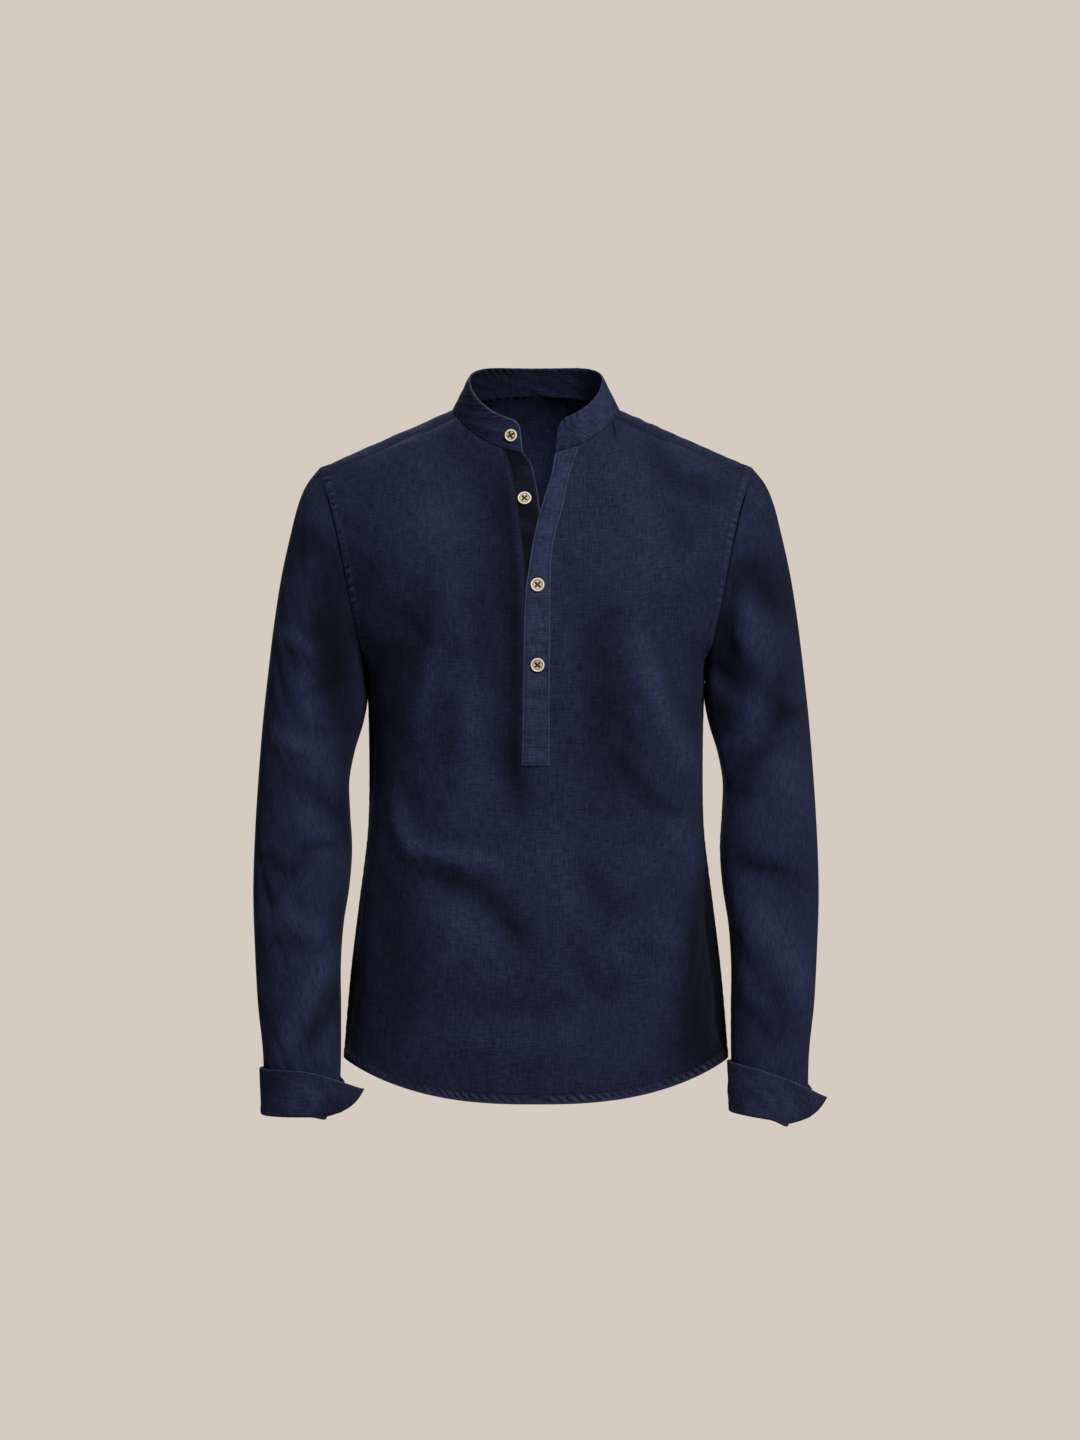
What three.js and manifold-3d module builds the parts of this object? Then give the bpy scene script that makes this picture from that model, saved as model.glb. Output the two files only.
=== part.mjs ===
// Band-collar popover shirt in its worn form, with no wearer.
// Millimetres, +Z up, front towards -Y, +X on the wearer's left.
// The origin is the middle of the neck's base, level with the shoulder points beside the collar.
import * as THREE from 'three';
import Module from 'manifold-3d';
import { mergeVertices } from 'three/addons/utils/BufferGeometryUtils.js';

const wasm = await Module();
wasm.setup();

// Cloth walls, as thick as each piece's layers of cloth
const WALL = { panel: 1.5, hem: 2.2, collar: 2.2, placketTop: 2.0, placketUnder: 1.6, cuff: 2.0 };
const SEAM_HALF_GAP = 0.18;
const NECK_SEAM_INSET = 0.45;

// Neck base ring
const NECK = { halfWidth: 86, halfDepth: 63, middleY: -5, sideZ: -0.5, frontFall: 48.5, backRise: 17.5 };
const COLLAR = {
  topHalfWidth: 69, topHalfDepth: 52, topMiddleY: -14, sideZ: 31.2, backRise: 13.8, riseTo: 0.9,
  frontFall: 47.7, bottomFrom: 13.6, bottomTo: 350.6, topFrom: 19.5, topTo: 345.6,
  cornerFrom: 12, cornerTo: 9,
  length: 420, height: 33, footGap: 0.2,
};

// The shoulders fall away from the neck, and the cloth rolls over them
const SHOULDER = { fall: 0.441, roll: 95 };
const SECTION_POWER = 2.2;

// Body by height: half width, and the depth of the front and the back
const BODY = [
  { z: -740, halfWidth: 201, front: 122, back: 117 },
  { z: -672, halfWidth: 199, front: 121, back: 116 },
  { z: -585, halfWidth: 192, front: 117, back: 110 },
  { z: -510, halfWidth: 183, front: 113.5, back: 101 },
  { z: -447, halfWidth: 175, front: 110.5, back: 92 },
  { z: -410, halfWidth: 173, front: 110, back: 91 },
  { z: -347, halfWidth: 173, front: 115, back: 96 },
  { z: -297, halfWidth: 174.5, front: 122, back: 105 },
  { z: -262, halfWidth: 178, front: 125, back: 112 },
  { z: -240, halfWidth: 190, front: 125, back: 115 },
  { z: -200, halfWidth: 208, front: 122, back: 118 },
  { z: -160, halfWidth: 222, front: 114, back: 119 },
  { z: -120, halfWidth: 232, front: 101, back: 116 },
  { z: -80, halfWidth: 240, front: 84, back: 110 },
  { z: -44, halfWidth: 244, front: 68, back: 102 },
  { z: 0, halfWidth: 246, front: 56, back: 93 },
  { z: 40, halfWidth: 246, front: 48, back: 88 },
];

// Armhole seam by height: how far out it lies on the front and on the back
const ARMHOLE = [
  { z: -262, front: 178, back: 178 },
  { z: -235, front: 184, back: 187 },
  { z: -210, front: 190, back: 195 },
  { z: -180, front: 196, back: 203 },
  { z: -150, front: 202, back: 209 },
  { z: -120, front: 209, back: 214 },
  { z: -90, front: 217, back: 219 },
  { z: -61.1, front: 224.6, back: 224.6 },
];
const ARMHOLE_TOP = -61.1;
const ARMPIT = -262;

// Yoke: where its front seam meets the neck ring and the armhole, and its back seam
const YOKE = { neckAngle: 76, frontEnd: 22.2, backEnd: -50.8, backMiddleZ: -92, cornerShare: 0.5, bow: 0.08 };

// Hem: lowest at the middle, curving up to the side seams
const HEM = { front: -713.5, back: -728, sideRise: 41.5, backSideRise: 56, halfWidth: 199, power: 2.6 };

// Neck opening of the front, and the free edges of the two plackets, by height
const OPENING = [
  { z: -369.4, right: -14.4, left: 13.5 },
  { z: -252, right: -13.2, left: 14.1 },
  { z: -192, right: -13, left: 14.6 },
  { z: -158, right: -14.5, left: 15.6 },
  { z: -132, right: -17.4, left: 19.6 },
  { z: -106, right: -21, left: 27 },
  { z: -77, right: -25.5, left: 32.8 },
  { z: -60, right: -29.5, left: 37.6 },
  { z: -47, right: -33.5, left: 42 },
  { z: -30, right: -38, left: 47 },
];
const PLACKET_EDGE = [
  { z: -369, top: -13.9, under: 12 },
  { z: -252, top: -12.3, under: 12.5 },
  { z: -192, top: -10.4, under: 12 },
  { z: -170, top: -7.3, under: 11.4 },
  { z: -138.4, top: -2.4, under: 8.6 },
  { z: -112.6, top: 3.6, under: 4.4 },
  { z: -92.6, top: 9.6, under: 1.7 },
  { z: -72.8, top: 15.6, under: -1.8 },
  { z: -58, top: 18.6, under: -6 },
  { z: -47, top: 20.2, under: -14 },
];
const PLACKET = {
  bottom: -369, topEnd: -47, topGap: 0.9, gap: 0.35,
  topOffset: 0.8, underOffset: -1.3, tuckFrom: -80, tuckTo: -110,
};

// Sleeve rings from the armhole (0) to the fold of the cuff (1): the outer and inner ends of each
// ring's long axis, its middle from front to back, and half its depth
const SLEEVE = [
  { w: 0.0, outX: 224.6, outZ: -61.1, inX: 178, inZ: -262, y: 0, halfDepth: 54 },
  { w: 0.04, outX: 238, outZ: -78, inX: 178.9, inZ: -272, y: 0, halfDepth: 57 },
  { w: 0.08, outX: 246.5, outZ: -98, inX: 177.7, inZ: -284, y: 0, halfDepth: 60 },
  { w: 0.14, outX: 254, outZ: -127, inX: 177, inZ: -302, y: 0, halfDepth: 63 },
  { w: 0.22, outX: 263.5, outZ: -170, inX: 180.5, inZ: -327, y: 0, halfDepth: 65 },
  { w: 0.3, outX: 271, outZ: -217, inX: 189, inZ: -355, y: -1, halfDepth: 65 },
  { w: 0.38, outX: 277, outZ: -266, inX: 194.5, inZ: -386, y: -2, halfDepth: 64 },
  { w: 0.46, outX: 283, outZ: -322, inX: 193.5, inZ: -420, y: -4, halfDepth: 62 },
  { w: 0.54, outX: 287.5, outZ: -380, inX: 191.5, inZ: -456, y: -8, halfDepth: 61 },
  { w: 0.62, outX: 291, outZ: -440, inX: 194, inZ: -494, y: -13, halfDepth: 59 },
  { w: 0.7, outX: 292.5, outZ: -500, inX: 200, inZ: -535, y: -20, halfDepth: 56 },
  { w: 0.78, outX: 290.5, outZ: -557, inX: 202.5, inZ: -577, y: -27, halfDepth: 53 },
  { w: 0.86, outX: 287, outZ: -616, inX: 202, inZ: -622, y: -33, halfDepth: 50 },
  { w: 0.93, outX: 281.5, outZ: -668, inX: 202, inZ: -670, y: -38, halfDepth: 47 },
  { w: 1.0, outX: 280.2, outZ: -728, inX: 203, inZ: -728, y: -42, halfDepth: 45 },
];
const SLEEVE_LENGTH_PER_W = 857;
const SLEEVE_START = {
  gap: 0.9, armpitExtra: 1.1, blend: 0.25, direction: new THREE.Vector3(0.974, 0, -0.228),
};

// Cuff section: how far out of the sleeve's wall and how far up from its end, round the fold
const CUFF_SECTION = [
  { out: 0, up: -0.75 },
  { out: 0.35, up: -1.9 },
  { out: 1.65, up: -2.7 },
  { out: 2.95, up: -1.9 },
  { out: 3.3, up: 0 },
  { out: 3.4, up: 10 },
  { out: 3.4, up: 22 },
  { out: 3.5, up: 34 },
  { out: 3.9, up: 44.5 },
];
const CUFF = { span: 350, height: 44.5, flareFrom: 0.88, underLoss: 0.34, underTo: 0.12 };

// Each side's cuff end, flare and folds; folds give the angle round the sleeve and the height of both ends
const MM_PER_DEGREE = 0.95;
const SIDES = [
  {
    name: 'left', sign: 1, cuffEnd: 66, cuffTurn: 1, flare: { away: 38.5, front: 8, fall: 15.1, drop: 5.2 },
    endTilt: { out: -6.8, in: 4.8 }, endLift: { phi: 10, reach: 40, height: 6 }, heightTilt: -0.17,
    folds: [
      { phi0: 85, z0: -147, phi1: 150, z1: -225, width: 20, height: -8 },
      { phi0: 85, z0: -147, phi1: 55, z1: -235, width: 20, height: -7 },
      { phi0: 115, z0: -205, phi1: 95, z1: -262, width: 18, height: 5 },
      { phi0: 165, z0: -246, phi1: 110, z1: -300, width: 18, height: -6 },
      { phi0: 90, z0: -313, phi1: 30, z1: -325, width: 18, height: -5 },
      { phi0: 160, z0: -320, phi1: 150, z1: -400, width: 20, height: 4 },
      { phi0: 150, z0: -475, phi1: 50, z1: -484, width: 18, height: -4.5 },
      { phi0: 150, z0: -510, phi1: 50, z1: -670, width: 24, height: 5 },
      { phi0: 240, z0: -180, phi1: 200, z1: -260, width: 22, height: -6 },
      { phi0: 310, z0: -400, phi1: 230, z1: -450, width: 22, height: -5 },
    ],
  },
  {
    name: 'right', sign: -1, cuffEnd: 129, cuffTurn: -1,
    flare: { away: 37.8, front: 8, fall: 14.7, drop: 3.7 },
    endTilt: { out: 1.8, in: 1.8 }, endLift: { phi: 170, reach: 40, height: 2.5 }, heightTilt: 0,
    folds: [
      { phi0: 90, z0: -130, phi1: 145, z1: -200, width: 24, height: -9 },
      { phi0: 50, z0: -238, phi1: 110, z1: -264, width: 18, height: 5 },
      { phi0: 35, z0: -336, phi1: 135, z1: -272, width: 18, height: -6 },
      { phi0: 40, z0: -342, phi1: 145, z1: -366, width: 20, height: 5 },
      { phi0: 65, z0: -462, phi1: 150, z1: -454, width: 18, height: -5 },
      { phi0: 30, z0: -475, phi1: 65, z1: -545, width: 20, height: -4 },
      { phi0: 150, z0: -535, phi1: 95, z1: -680, width: 22, height: 4.5 },
      { phi0: 240, z0: -180, phi1: 200, z1: -260, width: 22, height: -6 },
      { phi0: 310, z0: -380, phi1: 230, z1: -440, width: 22, height: -5 },
    ],
  },
];

// Body folds, ridges above zero and troughs below
const FRONT_FOLDS = [
  { x0: 98, z0: -255, x1: 172, z1: -405, width: 22, height: 6 },
  { x0: 68, z0: -300, x1: 132, z1: -400, width: 22, height: -6 },
  { x0: -56, z0: -140, x1: -24, z1: -280, width: 20, height: -5 },
  { x0: -30, z0: -335, x1: -18, z1: -420, width: 20, height: -4 },
  { x0: -135, z0: -480, x1: -60, z1: -500, width: 20, height: -4 },
  { x0: -80, z0: -488, x1: -5, z1: -565, width: 20, height: -4 },
  { x0: -145, z0: -455, x1: -50, z1: -470, width: 20, height: 4 },
  { x0: 46, z0: -455, x1: 80, z1: -610, width: 20, height: -5 },
  { x0: 78, z0: -460, x1: 112, z1: -590, width: 22, height: 4 },
  { x0: 176, z0: -480, x1: 144, z1: -660, width: 24, height: 4 },
  { x0: -156, z0: -380, x1: -122, z1: -478, width: 20, height: 4 },
  { x0: 110, z0: -84, x1: 200, z1: -98, width: 20, height: -4 },
  { x0: -158, z0: -205, x1: -104, z1: -262, width: 20, height: -3.5 },
];
const BACK_FOLDS = [
  { x0: 150, z0: -240, x1: 60, z1: -330, width: 26, height: -6 },
  { x0: -150, z0: -240, x1: -55, z1: -340, width: 26, height: -6 },
  { x0: 110, z0: -360, x1: -20, z1: -420, width: 28, height: -6 },
  { x0: -120, z0: -380, x1: 10, z1: -450, width: 28, height: 6 },
  { x0: 60, z0: -480, x1: 90, z1: -660, width: 28, height: 6 },
  { x0: -70, z0: -500, x1: -95, z1: -670, width: 28, height: 5 },
  { x0: 5, z0: -130, x1: 0, z1: -260, width: 26, height: -5 },
];

// Buttons: one on the collar's end, one on the under placket, two on the top placket
const BUTTON = { thickness: 2.8, rim: 1.3, rimRise: 0.55, holeRadius: 0.8, holeSpacing: 1.75, lift: 0.3 };
const BUTTONS = [
  { name: 'button_1', on: 'collar', share: 0.978, up: 0.485, radius: 6.5 },
  { name: 'button_2', on: 'under', x: -11.7, z: -95.9, radius: 7.1 },
  { name: 'button_3', on: 'top', x: 1.6, z: -185.2, radius: 7.1 },
  { name: 'button_4', on: 'top', x: 1.6, z: -266.2, radius: 7.1 },
];

const cloth = new THREE.MeshStandardMaterial({ name: 'navy_linen', color: 0x1b2540, roughness: 0.92 });
const wood = new THREE.MeshStandardMaterial({ name: 'pale_button', color: 0xcdb892, roughness: 0.45 });

const FRONT = -1;
const BACK = 1;
const radians = THREE.MathUtils.degToRad;
const lerp = THREE.MathUtils.lerp;
const smooth = (t) => THREE.MathUtils.smoothstep(t, 0, 1);
const vector = (x, y, z) => new THREE.Vector3(x, y, z);

/** A smooth curve through one column of a table whose rows rise along another column. */
function curveThrough(rows, along, value) {
  const last = rows.length - 1;
  const slopes = rows.map((row, i) => {
    const before = rows[Math.max(i - 1, 0)];
    const after = rows[Math.min(i + 1, last)];
    return (after[value] - before[value]) / (after[along] - before[along]);
  });
  return (at) => {
    if (at <= rows[0][along]) return rows[0][value];
    if (at >= rows[last][along]) return rows[last][value];
    const i = rows.findIndex((row) => row[along] > at) - 1;
    const span = rows[i + 1][along] - rows[i][along];
    const t = (at - rows[i][along]) / span;
    const rise = rows[i + 1][value] - rows[i][value];
    const bend = (slopes[i] * (1 - t) - slopes[i + 1] * t) * span + rise * (2 * t - 1);
    return rows[i][value] + rise * t + bend * t * (1 - t);
  };
}

/** Numbers from first to last in equal steps. */
function steps(first, last, count) {
  return Array.from({ length: count + 1 }, (_, i) => lerp(first, last, i / count));
}

const halfWidthAt = curveThrough(BODY, 'z', 'halfWidth');
const depthAt = { [FRONT]: curveThrough(BODY, 'z', 'front'), [BACK]: curveThrough(BODY, 'z', 'back') };
const armholeX = { [FRONT]: curveThrough(ARMHOLE, 'z', 'front'), [BACK]: curveThrough(ARMHOLE, 'z', 'back') };
const openingX = { right: curveThrough(OPENING, 'z', 'right'), left: curveThrough(OPENING, 'z', 'left') };
const placketX = {
  top: curveThrough(PLACKET_EDGE, 'z', 'top'),
  under: curveThrough(PLACKET_EDGE, 'z', 'under'),
};
const ridgeZ = (x) => (NECK.halfWidth - Math.abs(x)) * SHOULDER.fall;
const edgeX = (z, face) => (z > ARMPIT ? armholeX[face](z) : halfWidthAt(z));

/** Height of the folds at a place, each a soft bump along a line that fades at both ends. */
function foldHeight(folds, x, z) {
  return folds.reduce((sum, fold) => {
    const runX = fold.x1 - fold.x0;
    const runZ = fold.z1 - fold.z0;
    const length = Math.hypot(runX, runZ);
    const share = ((x - fold.x0) * runX + (z - fold.z0) * runZ) / length ** 2;
    if (share <= 0 || share >= 1) return sum;
    const off = ((x - fold.x0) * runZ - (z - fold.z0) * runX) / length;
    const fade = smooth(share / 0.4) * smooth((1 - share) / 0.4);
    return sum + fold.height * fade * Math.exp(-(((2 * off) / fold.width) ** 2));
  }, 0);
}

/** A place on the body's cloth: x and z are given, the section and the shoulder's roll give y. */
function bodyPoint(x, z, face) {
  const folds = face === FRONT ? FRONT_FOLDS : BACK_FOLDS;
  const halfWidth = halfWidthAt(z);
  const share = Math.min(Math.abs(x) / halfWidth, 1);
  const drop = Math.max((ridgeZ(x) - z) / SHOULDER.roll, 0);
  const roll = drop < 1 ? Math.sqrt(1 - (1 - drop) ** 2) : 1;
  const depth = depthAt[face](z);
  const section = (1 - share ** SECTION_POWER) ** (1 / SECTION_POWER);
  const outwards = vector(
    Math.sign(x) * (share ** (SECTION_POWER - 1)) / halfWidth,
    face * (section ** (SECTION_POWER - 1)) / depth,
    0,
  ).normalize();
  const room = smooth((edgeX(z, face) - Math.abs(x)) / 14) * smooth((ridgeZ(x) - 20 - z) / 40);
  const point = vector(x, face * depth * section * roll, z);
  return point.addScaledVector(outwards, room * foldHeight(folds, x, z));
}

/** The roll angle at a place, 0 on the shoulder's ridge and growing down the face. */
function rollAngle(x, z, face) {
  const drop = (ridgeZ(x) - z) / SHOULDER.roll;
  return face * (drop <= 1 ? Math.acos(1 - Math.max(drop, 0)) : Math.PI / 2 + drop - 1);
}

function heightAtRoll(x, angle) {
  const turn = Math.abs(angle);
  const drop = turn <= Math.PI / 2 ? 1 - Math.cos(turn) : 1 + turn - Math.PI / 2;
  return ridgeZ(x) - SHOULDER.roll * drop;
}

/** Neck ring, by degrees from the front middle towards +X. */
function neckRing(degrees) {
  const sine = Math.sin(radians(degrees));
  const cosine = Math.cos(radians(degrees));
  const fall = NECK.frontFall * Math.max(cosine, 0) ** 1.5;
  const rise = NECK.backRise * Math.max(-cosine, 0) ** 1.5;
  return vector(NECK.halfWidth * sine, NECK.middleY - NECK.halfDepth * cosine, NECK.sideZ - fall + rise);
}

function collarTop(degrees) {
  const sine = Math.sin(radians(degrees));
  const cosine = Math.cos(radians(degrees));
  const fall = COLLAR.frontFall * Math.max(cosine, 0) ** 1.1;
  const behind = Math.min(Math.max(-cosine, 0) / COLLAR.riseTo, 1);
  const rise = COLLAR.backRise * Math.sin((Math.PI / 2) * behind);
  return vector(
    COLLAR.topHalfWidth * sine, COLLAR.topMiddleY - COLLAR.topHalfDepth * cosine, COLLAR.sideZ - fall + rise,
  );
}

/** How sharply the collar turns up from the cloth at its foot, as the tangent of half the turn. */
const collarKink = (degrees) => {
  const cosine = Math.cos(radians(degrees));
  return 0.34 * Math.abs(Math.sin(radians(degrees))) + 0.19 * Math.max(cosine, 0);
};

/** Armhole seam on the +X side: 0 on the shoulder, 90 at the front, 180 in the armpit. */
function armhole(phi) {
  const z = lerp(ARMPIT, ARMHOLE_TOP, (1 + Math.cos(radians(phi))) / 2);
  const face = Math.sin(radians(phi)) >= 0 ? FRONT : BACK;
  return { x: armholeX[face](z), z, face };
}

/** Yoke cloth: share -1 to 1 from the right front seam round the back to the left, and 0 to 1 outwards. */
function yokePoint(share, out) {
  const side = Math.sign(share) || 1;
  const turn = Math.abs(share);
  const angle = 180 - (180 - YOKE.neckAngle) * turn;
  const ring = neckRing(side * angle);
  const ringFace = ring.y < 0 && turn > 0.8 ? FRONT : BACK;
  const innerRoll = rollAngle(ring.x, ring.z, ringFace);
  const corner = armhole(YOKE.backEnd);
  const toFront = Math.max(turn - YOKE.cornerShare, 0) / (1 - YOKE.cornerShare);
  const hole = armhole(lerp(YOKE.backEnd, YOKE.frontEnd, toFront));
  const seamShare = Math.min(turn / YOKE.cornerShare, 1);
  const seamX = corner.x * seamShare;
  const seamZ = lerp(YOKE.backMiddleZ, corner.z, seamShare ** 2);
  const onSeam = turn <= YOKE.cornerShare;
  const outerX = side * (onSeam ? seamX : hole.x);
  const outerRoll = onSeam ? rollAngle(seamX, seamZ, BACK) : rollAngle(hole.x, hole.z, hole.face);
  const bow = YOKE.bow * Math.sin(Math.PI * out) * smooth((turn - 0.7) / 0.3);
  const roll = lerp(innerRoll, outerRoll, out) - bow;
  const x = lerp(ring.x, outerX, out);
  const onCloth = (px, angleAt) => bodyPoint(px, heightAtRoll(px, angleAt), angleAt < 0 ? FRONT : BACK);
  const miss = ring.clone().sub(onCloth(ring.x, innerRoll));
  return onCloth(x, roll).addScaledVector(miss, (1 - out) ** 2);
}

/** Moves one edge row or column of a grid inwards along the cloth, by a distance for each point. */
function pullIn(grid, edge, distanceAt) {
  const rows = grid.length;
  const columns = grid[0].length;
  const length = edge === 'top' || edge === 'bottom' ? columns : rows;
  for (let i = 0; i < length; i += 1) {
    const [here, next] = {
      bottom: [[0, i], [1, i]],
      top: [[rows - 1, i], [rows - 2, i]],
      first: [[i, 0], [i, 1]],
      last: [[i, columns - 1], [i, columns - 2]],
    }[edge];
    const point = grid[here[0]][here[1]];
    const inwards = grid[next[0]][next[1]].clone().sub(point).normalize();
    point.addScaledVector(inwards, distanceAt(i));
  }
}

/** A closed wall on a grid of mid-cloth points, half its thickness to each side. Cells can be left out. */
function clothWall(grid, { thickness, keep = () => true, tube = false }) {
  const rows = grid.length;
  const columns = grid[0].length;
  const at = (r, c) => grid[r][tube ? (c + columns) % columns : c];
  const sides = grid.map((row, r) => row.map((point, c) => {
    const left = at(r, tube ? c - 1 : Math.max(c - 1, 0));
    const right = at(r, tube ? c + 1 : Math.min(c + 1, columns - 1));
    const below = at(Math.max(r - 1, 0), c);
    const above = at(Math.min(r + 1, rows - 1), c);
    const normal = right.clone().sub(left).cross(above.clone().sub(below)).normalize();
    const half = thickness(r, c) / 2;
    return [point.clone().addScaledVector(normal, half), point.clone().addScaledVector(normal, -half)];
  }));
  const cellColumns = tube ? columns : columns - 1;
  const kept = (r, c) => r >= 0 && r < rows - 1 && (tube || (c >= 0 && c < cellColumns)) && keep(r, c);
  const positions = [];
  const quad = (a, b, c, d) => [a, b, c, a, c, d].forEach((p) => positions.push(p.x, p.y, p.z));
  for (let r = 0; r < rows - 1; r += 1) {
    for (let c = 0; c < cellColumns; c += 1) {
      if (!kept(r, c)) continue;
      const next = tube ? (c + 1) % columns : c + 1;
      const corners = [sides[r][c], sides[r][next], sides[r + 1][next], sides[r + 1][c]];
      const [a, b, d, e] = corners;
      quad(a[0], b[0], d[0], e[0]);
      quad(e[1], d[1], b[1], a[1]);
      if (!kept(r - 1, c)) quad(a[1], b[1], b[0], a[0]);
      if (!kept(r + 1, c)) quad(d[1], e[1], e[0], d[0]);
      if (!kept(r, tube ? (c - 1 + columns) % columns : c - 1)) quad(e[1], a[1], a[0], e[0]);
      if (!kept(r, tube ? next : c + 1)) quad(b[1], d[1], d[0], b[0]);
    }
  }
  const geometry = new THREE.BufferGeometry();
  geometry.setAttribute('position', new THREE.Float32BufferAttribute(positions, 3));
  return facingOut(mergeVertices(geometry, 1e-4));
}

/** Turns a closed geometry's faces outwards if its volume counts as negative. */
function facingOut(geometry) {
  const position = geometry.getAttribute('position');
  const index = geometry.getIndex();
  const corner = (i) => vector(0, 0, 0).fromBufferAttribute(position, index.getX(i));
  let volume = 0;
  for (let i = 0; i < index.count; i += 3) {
    volume += corner(i).dot(corner(i + 1).cross(corner(i + 2)));
  }
  if (volume < 0) {
    for (let i = 0; i < index.count; i += 3) {
      const first = index.getX(i);
      index.setX(i, index.getX(i + 1));
      index.setX(i + 1, first);
    }
  }
  geometry.computeVertexNormals();
  return geometry;
}

const shirt = new THREE.Group();

function add(name, geometry, material = cloth) {
  const mesh = new THREE.Mesh(geometry, material);
  mesh.name = name;
  shirt.add(mesh);
}

const hemZ = (x, face) => {
  const rise = face === FRONT ? HEM.sideRise : HEM.backSideRise;
  const lowest = face === FRONT ? HEM.front : HEM.back;
  return lowest + rise * Math.min(Math.abs(x) / HEM.halfWidth, 1) ** HEM.power;
};

/** Where the neck ring crosses one edge of the front's opening, in degrees. */
function openingCorner(side) {
  const sign = side === 'left' ? 1 : -1;
  let low = 5;
  let high = 45;
  for (let i = 0; i < 30; i += 1) {
    const middle = (low + high) / 2;
    const point = neckRing(sign * middle);
    if (Math.abs(point.x) < Math.abs(openingX[side](point.z))) low = middle;
    else high = middle;
  }
  return sign * low;
}

// Shares of the front's edge that follow the neck ring, and of its length below the opening's foot
const NECKLINE_SHARE = 0.3;
const FOOT_SHARE = 0.52;
const OPENING_CORNER = { left: openingCorner('left'), right: openingCorner('right') };

/** Top edge of the front from the opening (0) along the neck ring and the yoke seam to the armhole (1). */
function frontTop(side, share) {
  const sign = side === 'left' ? 1 : -1;
  if (share < NECKLINE_SHARE) {
    return neckRing(lerp(OPENING_CORNER[side], sign * YOKE.neckAngle, share / NECKLINE_SHARE));
  }
  return yokePoint(sign, (share - NECKLINE_SHARE) / (1 - NECKLINE_SHARE));
}

/** One column of a body panel, from the hem past the slot's foot to its top edge, which it meets exactly. */
function panelColumn(face, heights, top, xAt) {
  const hemX = xAt(hemZ(top.x, face));
  const low = hemZ(hemX, face);
  const foot = OPENING[0].z;
  const miss = top.clone().sub(bodyPoint(xAt(top.z), top.z, face));
  return heights.map((height) => {
    const z = height < FOOT_SHARE
      ? lerp(low, foot, height / FOOT_SHARE)
      : lerp(foot, top.z, (height - FOOT_SHARE) / (1 - FOOT_SHARE));
    return bodyPoint(xAt(z), z, face).addScaledVector(miss, smooth((height - 0.6) / 0.4));
  });
}

const transpose = (columns) => columns[0].map((_, r) => columns.map((column) => column[r]));
const sectionAngle = (x, z) => Math.asin(THREE.MathUtils.clamp(x / halfWidthAt(z), -1, 1));

// Front: one piece with a slot for the plackets, hemmed below
const hemRows = [0, 0.018, 0.024];
const frontHeights = [...hemRows, ...steps(0.07, FOOT_SHARE, 11), ...steps(FOOT_SHARE, 1, 13).slice(1)];
const slotRow = frontHeights.indexOf(FOOT_SHARE);
const frontShares = [0, 0.08, ...steps(0.16, 0.86, 10), 0.92, 0.965, 1];
const sidePart = (side) => frontShares.map((share) => {
  const sign = side === 'left' ? 1 : -1;
  return panelColumn(FRONT, frontHeights, frontTop(side, share), (z) => {
    const inner = sectionAngle(openingX[side](z), z);
    const outer = sign * (z > ARMPIT ? sectionAngle(armholeX[FRONT](z), z) : Math.PI / 2);
    return halfWidthAt(z) * Math.sin(lerp(inner, outer, share));
  });
});
const middlePart = panelColumn(FRONT, frontHeights, bodyPoint(0, PLACKET.topEnd, FRONT), () => 0);
const frontGrid = transpose([...sidePart('right').reverse(), middlePart, ...sidePart('left')]);
const slotColumn = frontShares.length - 1;
const hemThickness = (r) => (r < 2 ? WALL.hem : WALL.panel);
pullIn(frontGrid, 'first', () => SEAM_HALF_GAP);
pullIn(frontGrid, 'last', () => SEAM_HALF_GAP);
pullIn(frontGrid, 'top', () => NECK_SEAM_INSET);
add('front', clothWall(frontGrid, {
  thickness: hemThickness,
  keep: (r, c) => r < slotRow || c < slotColumn || c > slotColumn + 1,
}));

// Back: from the hem to the yoke seam
const backShares = steps(-1, 1, 24);
const backHeights = [...hemRows, ...steps(0.07, 1, 17)];
const backGrid = transpose(backShares.map((share) => {
  const top = yokePoint(share * YOKE.cornerShare, 1);
  return panelColumn(BACK, backHeights, top, (z) => {
    const outer = z > ARMPIT ? sectionAngle(armholeX[BACK](z), z) : Math.PI / 2;
    return halfWidthAt(z) * Math.sin(outer * share);
  });
}));
['first', 'last', 'top'].forEach((edge) => pullIn(backGrid, edge, () => SEAM_HALF_GAP));
add('back', clothWall(backGrid, { thickness: hemThickness }));

// Yoke: one piece over both shoulders
const yokeShares = steps(-1, 1, 32);
const yokeGrid = steps(0, 1, 5).map((out) => yokeShares.map((share) => yokePoint(share, out)));
pullIn(yokeGrid, 'first', () => SEAM_HALF_GAP);
pullIn(yokeGrid, 'last', () => SEAM_HALF_GAP);
pullIn(yokeGrid, 'bottom', () => NECK_SEAM_INSET);
pullIn(yokeGrid, 'top', () => SEAM_HALF_GAP);
add('yoke', clothWall(yokeGrid, { thickness: () => WALL.panel }));

// Collar band: stands on the neck ring, open at the front, its top corners rounded
const collarShares = [0, 0.006, 0.014, 0.024, 0.036, ...steps(0.06, 0.94, 26), 0.97, 0.982, 0.992, 1];
const collarUp = steps(0, 1, 4);

function collarPoint(share, up) {
  const foot = neckRing(lerp(COLLAR.bottomFrom, COLLAR.bottomTo, share));
  const head = collarTop(lerp(COLLAR.topFrom, COLLAR.topTo, share));
  return foot.lerp(head, up);
}

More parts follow.
